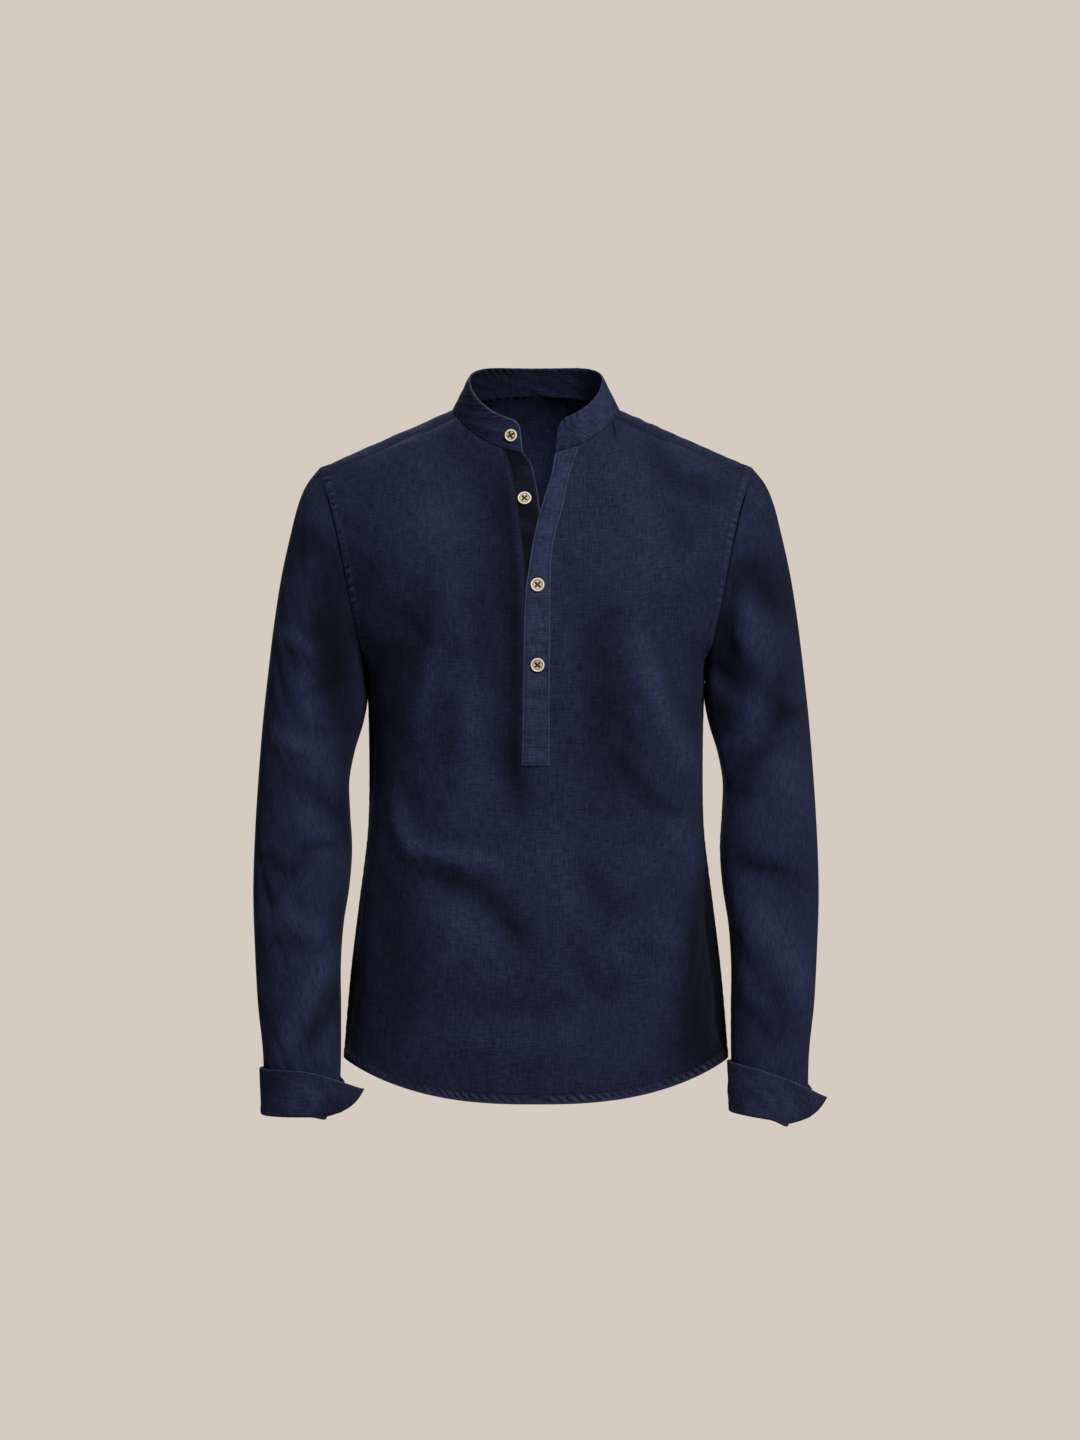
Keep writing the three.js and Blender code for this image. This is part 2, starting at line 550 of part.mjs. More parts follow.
/** How much of the collar's height is left near an end whose top corner is rounded. */
function cornerHeight(share) {
  const rounded = (distance, radius) => {
    const into = Math.max(radius - distance, 0);
    return radius - Math.sqrt(radius ** 2 - into ** 2);
  };
  const lost = rounded(share * COLLAR.length, COLLAR.cornerFrom)
    + rounded((1 - share) * COLLAR.length, COLLAR.cornerTo);
  return 1 - lost / COLLAR.height;
}

const collarGrid = collarUp.map((up) => collarShares.map(
  (share) => collarPoint(share, up * cornerHeight(share)),
));
pullIn(collarGrid, 'bottom', (i) => {
  const degrees = lerp(COLLAR.bottomFrom, COLLAR.bottomTo, collarShares[i]);
  return COLLAR.footGap + (WALL.collar / 2) * collarKink(degrees);
});
add('collar_band', clothWall(collarGrid, { thickness: () => WALL.collar }));

// Plackets: two strips in the front's opening, the top one over the under one
const placketRows = frontHeights.slice(slotRow).map((height) => (height - FOOT_SHARE) / (1 - FOOT_SHARE));

/** A placket's cloth between two edges given by height, moved out of the front's by an offset. */
function placketGrid(leftEdge, rightEdge, offsetAt) {
  return placketRows.map((up) => steps(0, 1, 3).map((across) => {
    const xTop = lerp(leftEdge(PLACKET.topEnd), rightEdge(PLACKET.topEnd), across);
    const ringZ = neckRing(THREE.MathUtils.radToDeg(Math.asin(xTop / NECK.halfWidth))).z;
    const z = lerp(PLACKET.bottom, ringZ - PLACKET.topGap, up);
    const x = lerp(leftEdge(z), rightEdge(z), across);
    const here = bodyPoint(x, z, FRONT);
    const towardsX = bodyPoint(x + 1, z, FRONT).sub(here);
    const upwards = bodyPoint(x, z + 1, FRONT).sub(here);
    return here.addScaledVector(towardsX.cross(upwards).normalize(), offsetAt(z));
  }));
}

const tucked = (z) => smooth((z - PLACKET.tuckFrom) / (PLACKET.tuckTo - PLACKET.tuckFrom));
const underOffset = (z) => PLACKET.underOffset * tucked(z);
const topGrid = placketGrid(placketX.top, (z) => openingX.left(z) - PLACKET.gap, () => PLACKET.topOffset);
const underGrid = placketGrid((z) => openingX.right(z) + PLACKET.gap, placketX.under, underOffset);
add('placket_top', clothWall(topGrid, { thickness: () => WALL.placketTop }));
add('placket_under', clothWall(underGrid, { thickness: () => WALL.placketUnder }));

const sleeveFolds = Object.fromEntries(SIDES.map(({ name, folds }) => [name, folds.map(
  ({ phi0, phi1, ...fold }) => ({ ...fold, x0: phi0 * MM_PER_DEGREE, x1: phi1 * MM_PER_DEGREE }),
)]));
const sleeveCurve = Object.fromEntries(
  ['outX', 'outZ', 'inX', 'inZ', 'y', 'halfDepth'].map((key) => [key, curveThrough(SLEEVE, 'w', key)]),
);

/** One sleeve ring on the +X side: its middle, half its long axis, and half its depth. */
function sleeveRing(side, w) {
  const tilt = smooth((w - 0.86) / 0.14);
  const outer = vector(sleeveCurve.outX(w), 0, sleeveCurve.outZ(w) + tilt * side.endTilt.out);
  const inner = vector(sleeveCurve.inX(w), 0, sleeveCurve.inZ(w) + tilt * side.endTilt.in);
  return {
    middle: outer.clone().add(inner).divideScalar(2).setY(sleeveCurve.y(w)),
    long: outer.clone().sub(inner).divideScalar(2),
    halfDepth: sleeveCurve.halfDepth(w),
  };
}

function onRing(ring, phi) {
  const depth = vector(0, -ring.halfDepth * Math.sin(radians(phi)), 0);
  return ring.middle.clone().addScaledVector(ring.long, Math.cos(radians(phi))).add(depth);
}

/** How far the sleeve's end is higher where the flared end of its cuff hangs over it. */
function endLift(side, w, phi) {
  const turn = THREE.MathUtils.euclideanModulo(phi - side.endLift.phi + 180, 360) - 180;
  return side.endLift.height * smooth((w - 0.86) / 0.14) * Math.exp(-((turn / side.endLift.reach) ** 2));
}

/** A place on a sleeve: w along it, phi round it, and a distance out of its cloth. */
function sleevePoint(side, w, phi, out = 0) {
  const ring = sleeveRing(side, w);
  const cosine = Math.cos(radians(phi));
  const sine = Math.sin(radians(phi));
  const point = onRing(ring, phi);
  point.z += endLift(side, w, phi);
  const hole = armhole(phi);
  const seam = bodyPoint(hole.x, hole.z, hole.face);
  const seamMiss = seam.sub(onRing(sleeveRing(side, 0), phi));
  point.addScaledVector(seamMiss, 1 - smooth(w / SLEEVE_START.blend));
  const armpit = ((1 - cosine) / 2) ** 6;
  const lead = (SLEEVE_START.gap + SLEEVE_START.armpitExtra * armpit) * (1 - smooth(w / 0.04));
  point.addScaledVector(SLEEVE_START.direction, lead);
  const outwards = vector(0, -sine / ring.halfDepth, 0)
    .addScaledVector(ring.long, cosine / ring.long.lengthSq()).normalize();
  const room = smooth((w - 0.03) / 0.12) * smooth((0.93 - w) / 0.06);
  const arc = THREE.MathUtils.euclideanModulo(phi, 360) * MM_PER_DEGREE;
  point.addScaledVector(outwards, room * foldHeight(sleeveFolds[side.name], arc, point.z) + out);
  point.x *= side.sign;
  return point;
}

/** A place on a turned-back cuff: share round it, and out and up from the sleeve's end. */
function cuffPoint(side, share, { out, up }) {
  const phi = side.cuffEnd + side.cuffTurn * CUFF.span * (1 - share);
  const kept = 1 - CUFF.underLoss * (1 - smooth((share - CUFF.underTo) / 0.2));
  const rise = Math.max(up, 0) * kept * (1 + side.heightTilt * Math.cos(radians(phi)));
  const point = sleevePoint(side, 1 - rise / SLEEVE_LENGTH_PER_W, phi, out);
  const long = sleeveRing(side, 1).long;
  const axis = vector(-long.z * side.sign, 0, long.x).normalize();
  const growth = smooth((share - CUFF.flareFrom) / (1 - CUFF.flareFrom));
  const height = Math.max(up, 0) / CUFF.height;
  const { away, front, fall, drop } = side.flare;
  const sideways = (away * (height + Math.sin((Math.PI / 2) * height))) / 2;
  const sag = drop + fall * Math.sin((Math.PI / 2) * Math.min(height / 0.8, 1));
  const bend = vector(sideways, -front * height, -sag).multiplyScalar(growth);
  return point.addScaledVector(axis, Math.min(up, 0)).add(bend);
}

const sleeveRows = [0, 0.02, 0.045, 0.08, 0.12, 0.165, ...steps(0.21, 0.93, 15), 1];
const sleeveAngles = steps(0, 360, 25).slice(0, -1);
const cuffShares = [...steps(0, CUFF.flareFrom, 16), ...steps(CUFF.flareFrom, 1, 6).slice(1)];
SIDES.forEach((side) => {
  const sleeve = sleeveRows.map((w) => sleeveAngles.map((phi) => sleevePoint(side, w, phi)));
  add(`sleeve_${side.name}`, clothWall(sleeve, { thickness: () => WALL.panel, tube: true }));
  const cuff = CUFF_SECTION.map((section) => cuffShares.map((share) => cuffPoint(side, share, section)));
  add(`cuff_${side.name}`, clothWall(cuff, { thickness: () => WALL.cuff }));
});

/** Deletes all but positions, merges what coincides, and drops triangles that have no area left. */
function closedGeometry(geometry) {
  geometry.deleteAttribute('normal');
  geometry.deleteAttribute('uv');
  const merged = mergeVertices(geometry, 1e-4);
  const index = merged.getIndex().array;
  const whole = [];
  for (let i = 0; i < index.length; i += 3) {
    const [a, b, c] = [index[i], index[i + 1], index[i + 2]];
    if (a !== b && b !== c && c !== a) whole.push(a, b, c);
  }
  merged.setIndex(whole);
  return facingOut(merged);
}

function asSolid(geometry) {
  const closed = closedGeometry(geometry);
  return new wasm.Manifold(new wasm.Mesh({
    numProp: 3,
    vertProperties: new Float32Array(closed.getAttribute('position').array),
    triVerts: new Uint32Array(closed.getIndex().array),
  }));
}

function fromSolid(solid) {
  const { vertProperties, triVerts } = solid.getMesh();
  const geometry = new THREE.BufferGeometry();
  geometry.setAttribute('position', new THREE.BufferAttribute(vertProperties, 3));
  geometry.setIndex(new THREE.BufferAttribute(triVerts, 1));
  geometry.computeVertexNormals();
  return geometry;
}

/** A four-hole button with a raised rim, its back on the XZ plane and its face towards +Y. */
function buttonGeometry(radius) {
  const { thickness, rim, rimRise, holeRadius, holeSpacing } = BUTTON;
  const profile = [
    [0, 0], [radius - 0.7, 0], [radius, 0.8], [radius, thickness - 0.4], [radius - 0.4, thickness],
    [radius - rim, thickness], [radius - rim - 0.6, thickness - rimRise], [0, thickness - rimRise],
  ].map(([r, y]) => new THREE.Vector2(r, y));
  const disc = asSolid(new THREE.LatheGeometry(profile, 16));
  const corners = [[1, 1], [1, -1], [-1, 1], [-1, -1]];
  return fromSolid(corners.reduce((solid, [x, z]) => {
    const hole = new THREE.CylinderGeometry(holeRadius, holeRadius, 3 * thickness, 6);
    hole.translate(x * holeSpacing, 0, z * holeSpacing);
    return solid.subtract(asSolid(hole));
  }, disc));
}

/** The cloth's place and outward direction under a button, and how far out the cloth's face lies. */
function buttonSeat(button) {
  if (button.on === 'collar') {
    const here = collarPoint(button.share, button.up);
    const along = collarPoint(button.share + 0.002, button.up).sub(here);
    const upwards = collarPoint(button.share, button.up + 0.02).sub(here);
    return { here, outwards: along.cross(upwards).normalize(), face: WALL.collar / 2 };
  }
  const here = bodyPoint(button.x, button.z, FRONT);
  const along = bodyPoint(button.x + 1, button.z, FRONT).sub(here);
  const upwards = bodyPoint(button.x, button.z + 1, FRONT).sub(here);
  const face = button.on === 'top'
    ? PLACKET.topOffset + WALL.placketTop / 2
    : underOffset(button.z) + WALL.placketUnder / 2;
  return { here, outwards: along.cross(upwards).normalize(), face };
}

BUTTONS.forEach((button) => {
  const { here, outwards, face } = buttonSeat(button);
  const turn = new THREE.Quaternion().setFromUnitVectors(vector(0, 1, 0), outwards);
  const geometry = buttonGeometry(button.radius).applyQuaternion(turn);
  const place = here.addScaledVector(outwards, face + BUTTON.lift);
  add(button.name, geometry.translate(place.x, place.y, place.z), wood);
});

export default shirt;
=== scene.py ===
"""Band-collar popover shirt in its worn form, dressed with linen, stitching and buttons.

Millimetres inside the forms, metres in the meshes. +Z is up, the front looks towards -Y and +X is
on the wearer's left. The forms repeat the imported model's own named sizes, on finer grids.
"""
import logging
import math
from dataclasses import dataclass, field
from enum import Enum
from typing import Callable, NamedTuple, Sequence

import bpy
import numpy as np
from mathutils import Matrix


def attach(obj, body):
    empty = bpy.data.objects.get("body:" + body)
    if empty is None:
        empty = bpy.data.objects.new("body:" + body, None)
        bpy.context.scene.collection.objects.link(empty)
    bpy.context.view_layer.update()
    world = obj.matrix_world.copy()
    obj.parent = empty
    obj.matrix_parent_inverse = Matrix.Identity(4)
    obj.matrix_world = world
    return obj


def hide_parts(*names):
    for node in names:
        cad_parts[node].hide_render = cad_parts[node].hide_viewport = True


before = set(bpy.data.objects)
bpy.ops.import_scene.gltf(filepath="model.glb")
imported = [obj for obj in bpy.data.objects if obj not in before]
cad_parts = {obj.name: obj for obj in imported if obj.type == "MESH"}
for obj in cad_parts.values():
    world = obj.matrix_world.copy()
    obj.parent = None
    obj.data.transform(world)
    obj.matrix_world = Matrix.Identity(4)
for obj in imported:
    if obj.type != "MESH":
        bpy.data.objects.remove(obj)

Array = np.ndarray
MM = 0.001
FRONT = -1.0
BACK = 1.0
WIDEST_RELIEF = 24.0
# Cap on the painted shading of creases: painted light above zero, painted shade below.
MOST_PAINTED_SHADING = 1.6
GROUND = (0.665, 0.597, 0.533, 1.0)
log = logging.getLogger("shirt")


class Side(Enum):
    """The wearer's left or right, as the sign of X."""

    LEFT = 1.0
    RIGHT = -1.0


class BodyRow(NamedTuple):
    """Height, half width, and how deep the front and the back reach."""

    z: float
    half_width: float
    front: float
    back: float


class ArmholeRow(NamedTuple):
    """Height, and how far out the armhole seam lies on the front and on the back."""

    z: float
    front: float
    back: float


class OpeningRow(NamedTuple):
    """Height, and both edges of the front's neck opening."""

    z: float
    right: float
    left: float


class PlacketRow(NamedTuple):
    """Height, and the free edges of the top and the under placket."""

    z: float
    top: float
    under: float


class SleeveRow(NamedTuple):
    """Place along the sleeve, the outer and inner ends of its long axis, its middle and half depth."""

    w: float
    out_x: float
    out_z: float
    in_x: float
    in_z: float
    y: float
    half_depth: float


class Fold(NamedTuple):
    """A soft ridge (height above zero) or trough (below) along a line on the cloth."""

    x0: float
    z0: float
    x1: float
    z1: float
    width: float
    height: float


class Flare(NamedTuple):
    """How a cuff's free end stands off: sideways, to the front, and down at its top and its foot."""

    away: float
    front: float
    fall: float
    drop: float


class EndLift(NamedTuple):
    """Where a sleeve's end is higher, under the cuff's flared end: its angle, its reach, its height."""

    phi: float
    reach: float
    height: float


class Crease(NamedTuple):
    """A finer crease along a line of (x, z) places: strength above zero stands out and is painted lighter as
    painted light, below zero it sinks and is painted darker as painted shade.
    """

    line: tuple[tuple[float, float], ...]
    width: float
    strength: float


def table(kind: type, rows: Sequence[tuple]) -> tuple:
    """Rows of numbers as rows of one kind, with its column names."""
    return tuple(kind(*row) for row in rows)


BODY = table(BodyRow, (
    (-740, 201, 122, 117), (-672, 199, 121, 116), (-585, 192, 117, 110), (-510, 183, 113.5, 101),
    (-447, 175, 110.5, 92), (-410, 173, 110, 91), (-347, 173, 115, 96), (-297, 174.5, 122, 105),
    (-262, 178, 125, 112), (-240, 190, 125, 115), (-200, 208, 122, 118), (-160, 222, 114, 119),
    (-120, 232, 101, 116), (-80, 240, 84, 110), (-44, 244, 68, 102), (0, 246, 56, 93), (40, 246, 48, 88),
))
ARMHOLE = table(ArmholeRow, (
    (-262, 178, 178), (-235, 184, 187), (-210, 190, 195), (-180, 196, 203), (-150, 202, 209),
    (-120, 209, 214), (-90, 217, 219), (-61.1, 224.6, 224.6),
))
OPENING = table(OpeningRow, (
    (-369.4, -14.4, 13.5), (-252, -13.2, 14.1), (-192, -13, 14.6), (-158, -14.5, 15.6), (-132, -17.4, 19.6),
    (-106, -21, 27), (-77, -25.5, 32.8), (-60, -29.5, 37.6), (-47, -33.5, 42), (-30, -38, 47),
))
PLACKET_EDGE = table(PlacketRow, (
    (-369, -13.9, 12), (-252, -12.3, 12.5), (-192, -10.4, 12), (-170, -7.3, 11.4), (-138.4, -2.4, 8.6),
    (-112.6, 3.6, 4.4), (-92.6, 9.6, 1.7), (-72.8, 15.6, -1.8), (-58, 18.6, -6), (-47, 20.2, -14),
))
SLEEVE = table(SleeveRow, (
    (0.0, 224.6, -61.1, 178, -262, 0, 54), (0.04, 238, -78, 176.7, -272, 0, 57),
    (0.08, 246.5, -98, 175.9, -284, 0, 60), (0.14, 254, -127, 175.6, -302, 0, 63),
    (0.22, 263.5, -170, 180.5, -327, 0, 65), (0.3, 271, -217, 189, -355, -1, 65),
    (0.38, 277, -266, 194.5, -386, -2, 64), (0.46, 283, -322, 193.5, -420, -4, 62),
    (0.54, 287.5, -380, 191.5, -456, -8, 61), (0.62, 291, -440, 194, -494, -13, 59),
    (0.7, 292.5, -500, 200, -535, -20, 56), (0.78, 290.5, -557, 202.5, -577, -27, 53),
    (0.86, 287, -616, 202, -622, -33, 50), (0.93, 281.5, -668, 202, -670, -38, 47),
    (1.0, 280.2, -728, 203, -728, -42, 45),
))
FRONT_FOLDS = table(Fold, (
    (98, -255, 172, -405, 22, 6), (68, -300, 132, -400, 22, -6), (-56, -140, -24, -280, 20, -5),
    (-30, -335, -18, -420, 20, -4), (-135, -480, -60, -500, 20, -4), (-80, -488, -5, -565, 20, -4),
    (-145, -455, -50, -470, 20, 4), (46, -455, 80, -610, 20, -5), (78, -460, 112, -590, 22, 4),
    (176, -480, 144, -660, 24, 4), (-156, -380, -122, -478, 20, 4), (110, -84, 200, -98, 20, -4),
    (-158, -205, -104, -262, 20, -3.5),
))
BACK_FOLDS = table(Fold, (
    (150, -240, 60, -330, 26, -6), (-150, -240, -55, -340, 26, -6), (110, -360, -20, -420, 28, -6),
    (-120, -380, 10, -450, 28, 6), (60, -480, 90, -660, 28, 6), (-70, -500, -95, -670, 28, 5),
    (5, -130, 0, -260, 26, -5),
))
LEFT_SLEEVE_FOLDS = table(Fold, (
    (85, -147, 150, -225, 20, -8), (85, -147, 55, -235, 20, -7), (115, -205, 95, -262, 18, 5),
    (165, -246, 110, -300, 18, -6), (90, -313, 30, -325, 18, -5), (160, -320, 150, -400, 20, 4),
    (150, -475, 50, -484, 18, -4.5), (150, -510, 50, -670, 24, 5), (240, -180, 200, -260, 22, -6),
    (310, -400, 230, -450, 22, -5),
))
RIGHT_SLEEVE_FOLDS = table(Fold, (
    (90, -130, 145, -200, 24, -9), (50, -238, 110, -264, 18, 5), (35, -336, 135, -272, 18, -6),
    (40, -342, 145, -366, 20, 5), (65, -462, 150, -454, 18, -5), (30, -475, 65, -545, 20, -4),
    (150, -535, 95, -680, 22, 4.5), (240, -180, 200, -260, 22, -6), (310, -380, 230, -440, 22, -5),
))
FRONT_CREASES = table(Crease, (
    (((-50, -105), (-40, -170), (-34, -260), (-30, -350), (-26, -410)), 46, -0.6),
    (((-92, -14), (-72, -48), (-52, -90), (-46, -140)), 52, -0.75),
    (((-46, -40), (-34, -90), (-26, -160), (-19, -230), (-18, -310), (-18, -372)), 26, -0.9),
    (((-28, -340), (-22, -400), (-8, -430)), 24, -0.7), (((-66, -150), (-56, -215), (-50, -290)), 34, -0.4),
    (((-112, -170), (-128, -225), (-140, -280), (-156, -340), (-164, -410)), 50, -0.9),
    (((-105, -235), (-113, -290), (-126, -345)), 18, 0.7),
    (((-86, -290), (-90, -330), (-92, -380)), 20, -0.5), (((-60, -245), (-64, -340), (-62, -450)), 34, 0.5),
    (((62, -190), (66, -260), (76, -340), (88, -430)), 60, -0.95),
    (((96, -215), (112, -270), (128, -320), (148, -360), (168, -396)), 26, 1.1),
    (((84, -345), (100, -378), (122, -408), (154, -418)), 20, -0.8),
    (((138, -426), (158, -450), (174, -500)), 34, 0.8),
    (((112, -26), (128, -54), (146, -76), (176, -86), (214, -80)), 30, -0.8),
    (((126, -30), (154, -58), (190, -64)), 18, 0.4), (((138, -92), (150, -120), (146, -150)), 30, -0.5),
    (((100, -90), (112, -130), (110, -185)), 34, 0.4), (((188, -500), (170, -580), (158, -665)), 44, -1.0),
    (((186, -430), (190, -500), (192, -600), (194, -700)), 50, -1.5),
    (((184, -440), (192, -560), (197, -705)), 30, -1.6),
    (((-190, -672), (-90, -714), (0, -722), (90, -714), (190, -672)), 60, -0.3),
    (((150, -640), (176, -690)), 60, -0.6), (((-196, -560), (-198, -690)), 40, -0.8),
    (((132, -500), (138, -600)), 34, 0.4), (((-136, -386), (-112, -440)), 22, -0.5),
    (((-158, -412), (-134, -450), (-80, -466), (0, -470)), 22, 0.7),
    (((-134, -480), (-96, -487), (-60, -494), (-34, -514), (-16, -545), (-6, -575)), 30, -0.8),
    (((-104, -506), (-72, -540), (-36, -572)), 34, 0.6),
    (((-168, -440), (-146, -520), (-140, -600), (-146, -665)), 44, -0.7),
    (((-188, -500), (-194, -640)), 36, -0.8), (((44, -455), (58, -490), (84, -512), (110, -512)), 32, -0.5),
    (((40, -540), (58, -588), (92, -602)), 32, -0.45), (((70, -535), (98, -580)), 26, 0.6),
    (((88, -552), (156, -572)), 18, -0.4), (((-118, -606), (0, -616), (50, -608)), 22, -0.3),
    (((-120, -640), (0, -652), (60, -640)), 24, 0.25), (((28, -240), (42, -340)), 26, 0.35),
    (((16, -430), (34, -530)), 34, 0.35), (((-176, -255), (-172, -430)), 30, -0.8),
    (((172, -255), (166, -345)), 22, -0.7), (((176, -400), (184, -470)), 20, -0.6),
    (((-176, -150), (-184, -215)), 40, -0.5), (((-110, -95), (-125, -165)), 50, 0.35),
))
PLACKET_CREASES = table(Crease, (
    (((-9, -203), (4, -204), (14, -208)), 7, -0.7), (((-9, -244), (2, -243), (13, -246)), 6, -0.8),
    (((-9, -297), (3, -298), (14, -294)), 8, -0.9), (((-9, -226), (14, -224)), 9, 0.4),
    (((-9, -285), (14, -284)), 8, 0.4), (((-6, -160), (14, -164)), 9, -0.35),
    (((2, -128), (18, -132)), 9, 0.35), (((-9, -322), (14, -326)), 9, 0.3),
    (((18, -72), (30, -78)), 7, -0.4),
))
BACK_CREASES = table(Crease, (
    (((-40, -120), (-60, -180), (-64, -240)), 20, 0.5), (((52, -125), (70, -190), (72, -245)), 20, 0.5),
    (((150, -290), (110, -340), (60, -372)), 18, 0.7), (((-158, -290), (-110, -360), (-70, -392)), 18, 0.7),
    (((20, -440), (34, -540), (26, -640)), 24, -0.7),
    (((-128, -470), (-142, -560), (-140, -650)), 22, -0.7),
    (((138, -450), (152, -550), (150, -650)), 24, -0.7), (((-30, -300), (20, -318), (80, -312)), 16, -0.6),
    (((-110, -140), (-150, -200), (-170, -245)), 16, -0.5),
    (((118, -140), (156, -196), (172, -245)), 16, -0.5), (((-20, -395), (30, -405), (90, -392)), 14, -0.6),
    (((-168, -300), (-166, -420)), 20, -0.5), (((168, -300), (166, -420)), 20, -0.5),
))
RIGHT_SLEEVE_CREASES = table(Crease, (
    (((262, -176), (240, -134), (218, -146), (198, -200)), 30, -0.8),
    (((226, -160), (208, -215), (190, -270)), 56, -0.9),
    (((214, -195), (204, -250), (198, -310)), 46, -0.9), (((252, -170), (248, -225)), 34, 0.35),
    (((270, -226), (244, -244), (222, -262)), 26, 0.9), (((238, -222), (196, -290)), 34, -0.8),
    (((246, -268), (234, -325)), 26, 0.6), (((220, -272), (198, -320), (190, -345)), 32, -0.9),
    (((278, -335), (246, -354), (206, -386)), 26, 0.9), (((266, -372), (226, -396)), 18, -0.5),
    (((248, -414), (206, -450)), 24, 0.6), (((230, -396), (198, -426)), 18, -0.7),
    (((288, -456), (256, -478), (230, -462)), 20, -0.8), (((282, -516), (240, -532), (212, -548)), 24, 0.7),
    (((280, -548), (226, -556)), 16, -0.5), (((204, -556), (230, -600), (254, -644), (264, -680)), 22, 0.9),
    (((200, -586), (214, -625), (238, -660)), 24, -0.9), (((210, -630), (218, -680)), 16, 0.5),
    (((192, -330), (198, -470)), 20, -0.8), (((200, -500), (202, -560)), 18, -0.7),
))
LEFT_SLEEVE_CREASES = table(Crease, (
    (((226, -148), (206, -185), (186, -240)), 36, -0.9),
    (((228, -146), (250, -190), (272, -238)), 40, -0.8), (((240, -175), (236, -215)), 34, -0.5),
    (((208, -186), (218, -222), (234, -262)), 28, 0.8), (((196, -205), (196, -290)), 34, -0.9),
    (((182, -236), (202, -270), (228, -296)), 38, -1.0),
    (((272, -250), (248, -296), (258, -316), (284, -318)), 32, -0.8), (((196, -336), (214, -350)), 36, 0.6),
    (((222, -292), (230, -356)), 28, 0.6), (((256, -300), (232, -356), (198, -392)), 24, -0.7),
    (((250, -350), (276, -430)), 40, 0.6), (((206, -340), (200, -386)), 20, 0.5),
    (((190, -394), (226, -400)), 14, -0.7), (((214, -410), (230, -460)), 40, 0.35),
    (((196, -462), (240, -474), (292, -496)), 28, -0.55),
    (((200, -484), (232, -534), (270, -592), (284, -640)), 40, 1.1),
    (((220, -540), (244, -590), (266, -650)), 22, -0.8), (((208, -570), (238, -635)), 24, 0.6),
    (((210, -612), (248, -656)), 18, -0.7), (((192, -300), (198, -350)), 20, -0.7),
    (((200, -520), (204, -640)), 18, -0.6),
))
SLEEVE_BACK_CREASES = table(Crease, (
    (((240, -150), (215, -200), (200, -250)), 24, -0.7), (((262, -215), (225, -262)), 20, 0.6),
    (((205, -300), (250, -330), (276, -325)), 20, -0.7), (((200, -350), (245, -372), (276, -372)), 18, 0.6),
    (((205, -420), (245, -440), (280, -430)), 18, -0.7), (((212, -500), (250, -540), (268, -600)), 20, 0.6),
    (((206, -560), (232, -620), (240, -670)), 16, -0.6),
))
CUFF_SECTION = (
    (0, -0.75), (0.35, -1.9), (1.65, -2.7), (2.95, -1.9), (3.3, 0), (3.4, 10), (3.4, 22), (3.5, 34),
    (3.9, 44.5),
)

BUTTON_RIM = (
    (-1.7, -0.38), (-1.35, -0.1), (-1.0, 0.0), (-0.65, -0.02), (-0.3, -0.2), (-0.08, -0.55),
    (0.0, -1.2), (-0.08, -1.9), (-0.45, -2.45), (-1.0, -2.7), (-2.4, -2.8), (-4.0, -2.8),
)


def smooth(t: Array) -> Array:
    """Ease from 0 to 1 with level ends: 3t squared less 2t cubed, t held to 0..1."""
    held = np.clip(t, 0.0, 1.0)
    return held * held * (3.0 - 2.0 * held)


def bell(distance: Array, reach: float, at: float = 0.0) -> Array:
    """A bell curve: e to the minus square of the distance from its middle, counted in reaches."""
    return np.exp(-(((distance - at) / reach) ** 2))


def blend(first: Array, last: Array, t: Array) -> Array:
    """The value a share t of the way from first to last."""
    return first + (last - first) * t


def place(x: Array, y: Array, z: Array) -> Array:
    """Places from their three coordinates, which may have any shapes that broadcast."""
    return np.stack(np.broadcast_arrays(x, y, z), axis=-1).astype(float)


def unit(vectors: Array) -> Array:
    """Each vector at length one."""
    return vectors / np.maximum(np.linalg.norm(vectors, axis=-1, keepdims=True), 1e-9)


def runs(*spans: tuple[float, float, int]) -> Array:
    """Rising numbers through joined spans.

    Args:
        spans: The first and last number of each span, and its number of steps.

    Returns:
        All the numbers, each shared end once.
    """
    parts = [np.linspace(first, last, count + 1)[1:] for first, last, count in spans]
    return np.concatenate([[spans[0][0]], *parts])


@dataclass(frozen=True)
class Profile:
    """A smooth curve through the rows of a table, held level past both ends."""

    along: tuple[float, ...]
    values: tuple[float, ...]

    @classmethod
    def through(cls, rows: Sequence[NamedTuple], along: str, value: str) -> "Profile":
        """The curve of one column of a table against another column that rises."""
        return cls(tuple(getattr(row, along) for row in rows), tuple(getattr(row, value) for row in rows))

    def __call__(self, at: Array) -> Array:
        """The curve's value: a cubic between rows, its slope at a row that of the rows on each side.

        Args:
            at: Where to read the curve.

        Returns:
            One value for each place.
        """
        knots = np.asarray(self.along, dtype=float)
        levels = np.asarray(self.values, dtype=float)
        number = np.arange(len(knots))
        before = np.maximum(number - 1, 0)
        after = np.minimum(number + 1, len(knots) - 1)
        slopes = (levels[after] - levels[before]) / (knots[after] - knots[before])
        held = np.clip(at, knots[0], knots[-1])
        i = np.clip(np.searchsorted(knots, held, side="right") - 1, 0, len(knots) - 2)
        span = knots[i + 1] - knots[i]
        t = (held - knots[i]) / span
        rise = levels[i + 1] - levels[i]
        bend = (slopes[i] * (1 - t) - slopes[i + 1] * t) * span + rise * (2 * t - 1)
        return levels[i] + rise * t + bend * t * (1 - t)


HALF_WIDTH = Profile.through(BODY, "z", "half_width")
FRONT_DEPTH = Profile.through(BODY, "z", "front")
BACK_DEPTH = Profile.through(BODY, "z", "back")
FRONT_ARMHOLE = Profile.through(ARMHOLE, "z", "front")
BACK_ARMHOLE = Profile.through(ARMHOLE, "z", "back")
OPENING_EDGE = {
    Side.RIGHT: Profile.through(OPENING, "z", "right"),
    Side.LEFT: Profile.through(OPENING, "z", "left"),
}
TOP_PLACKET_EDGE = Profile.through(PLACKET_EDGE, "z", "top")
UNDER_PLACKET_EDGE = Profile.through(PLACKET_EDGE, "z", "under")


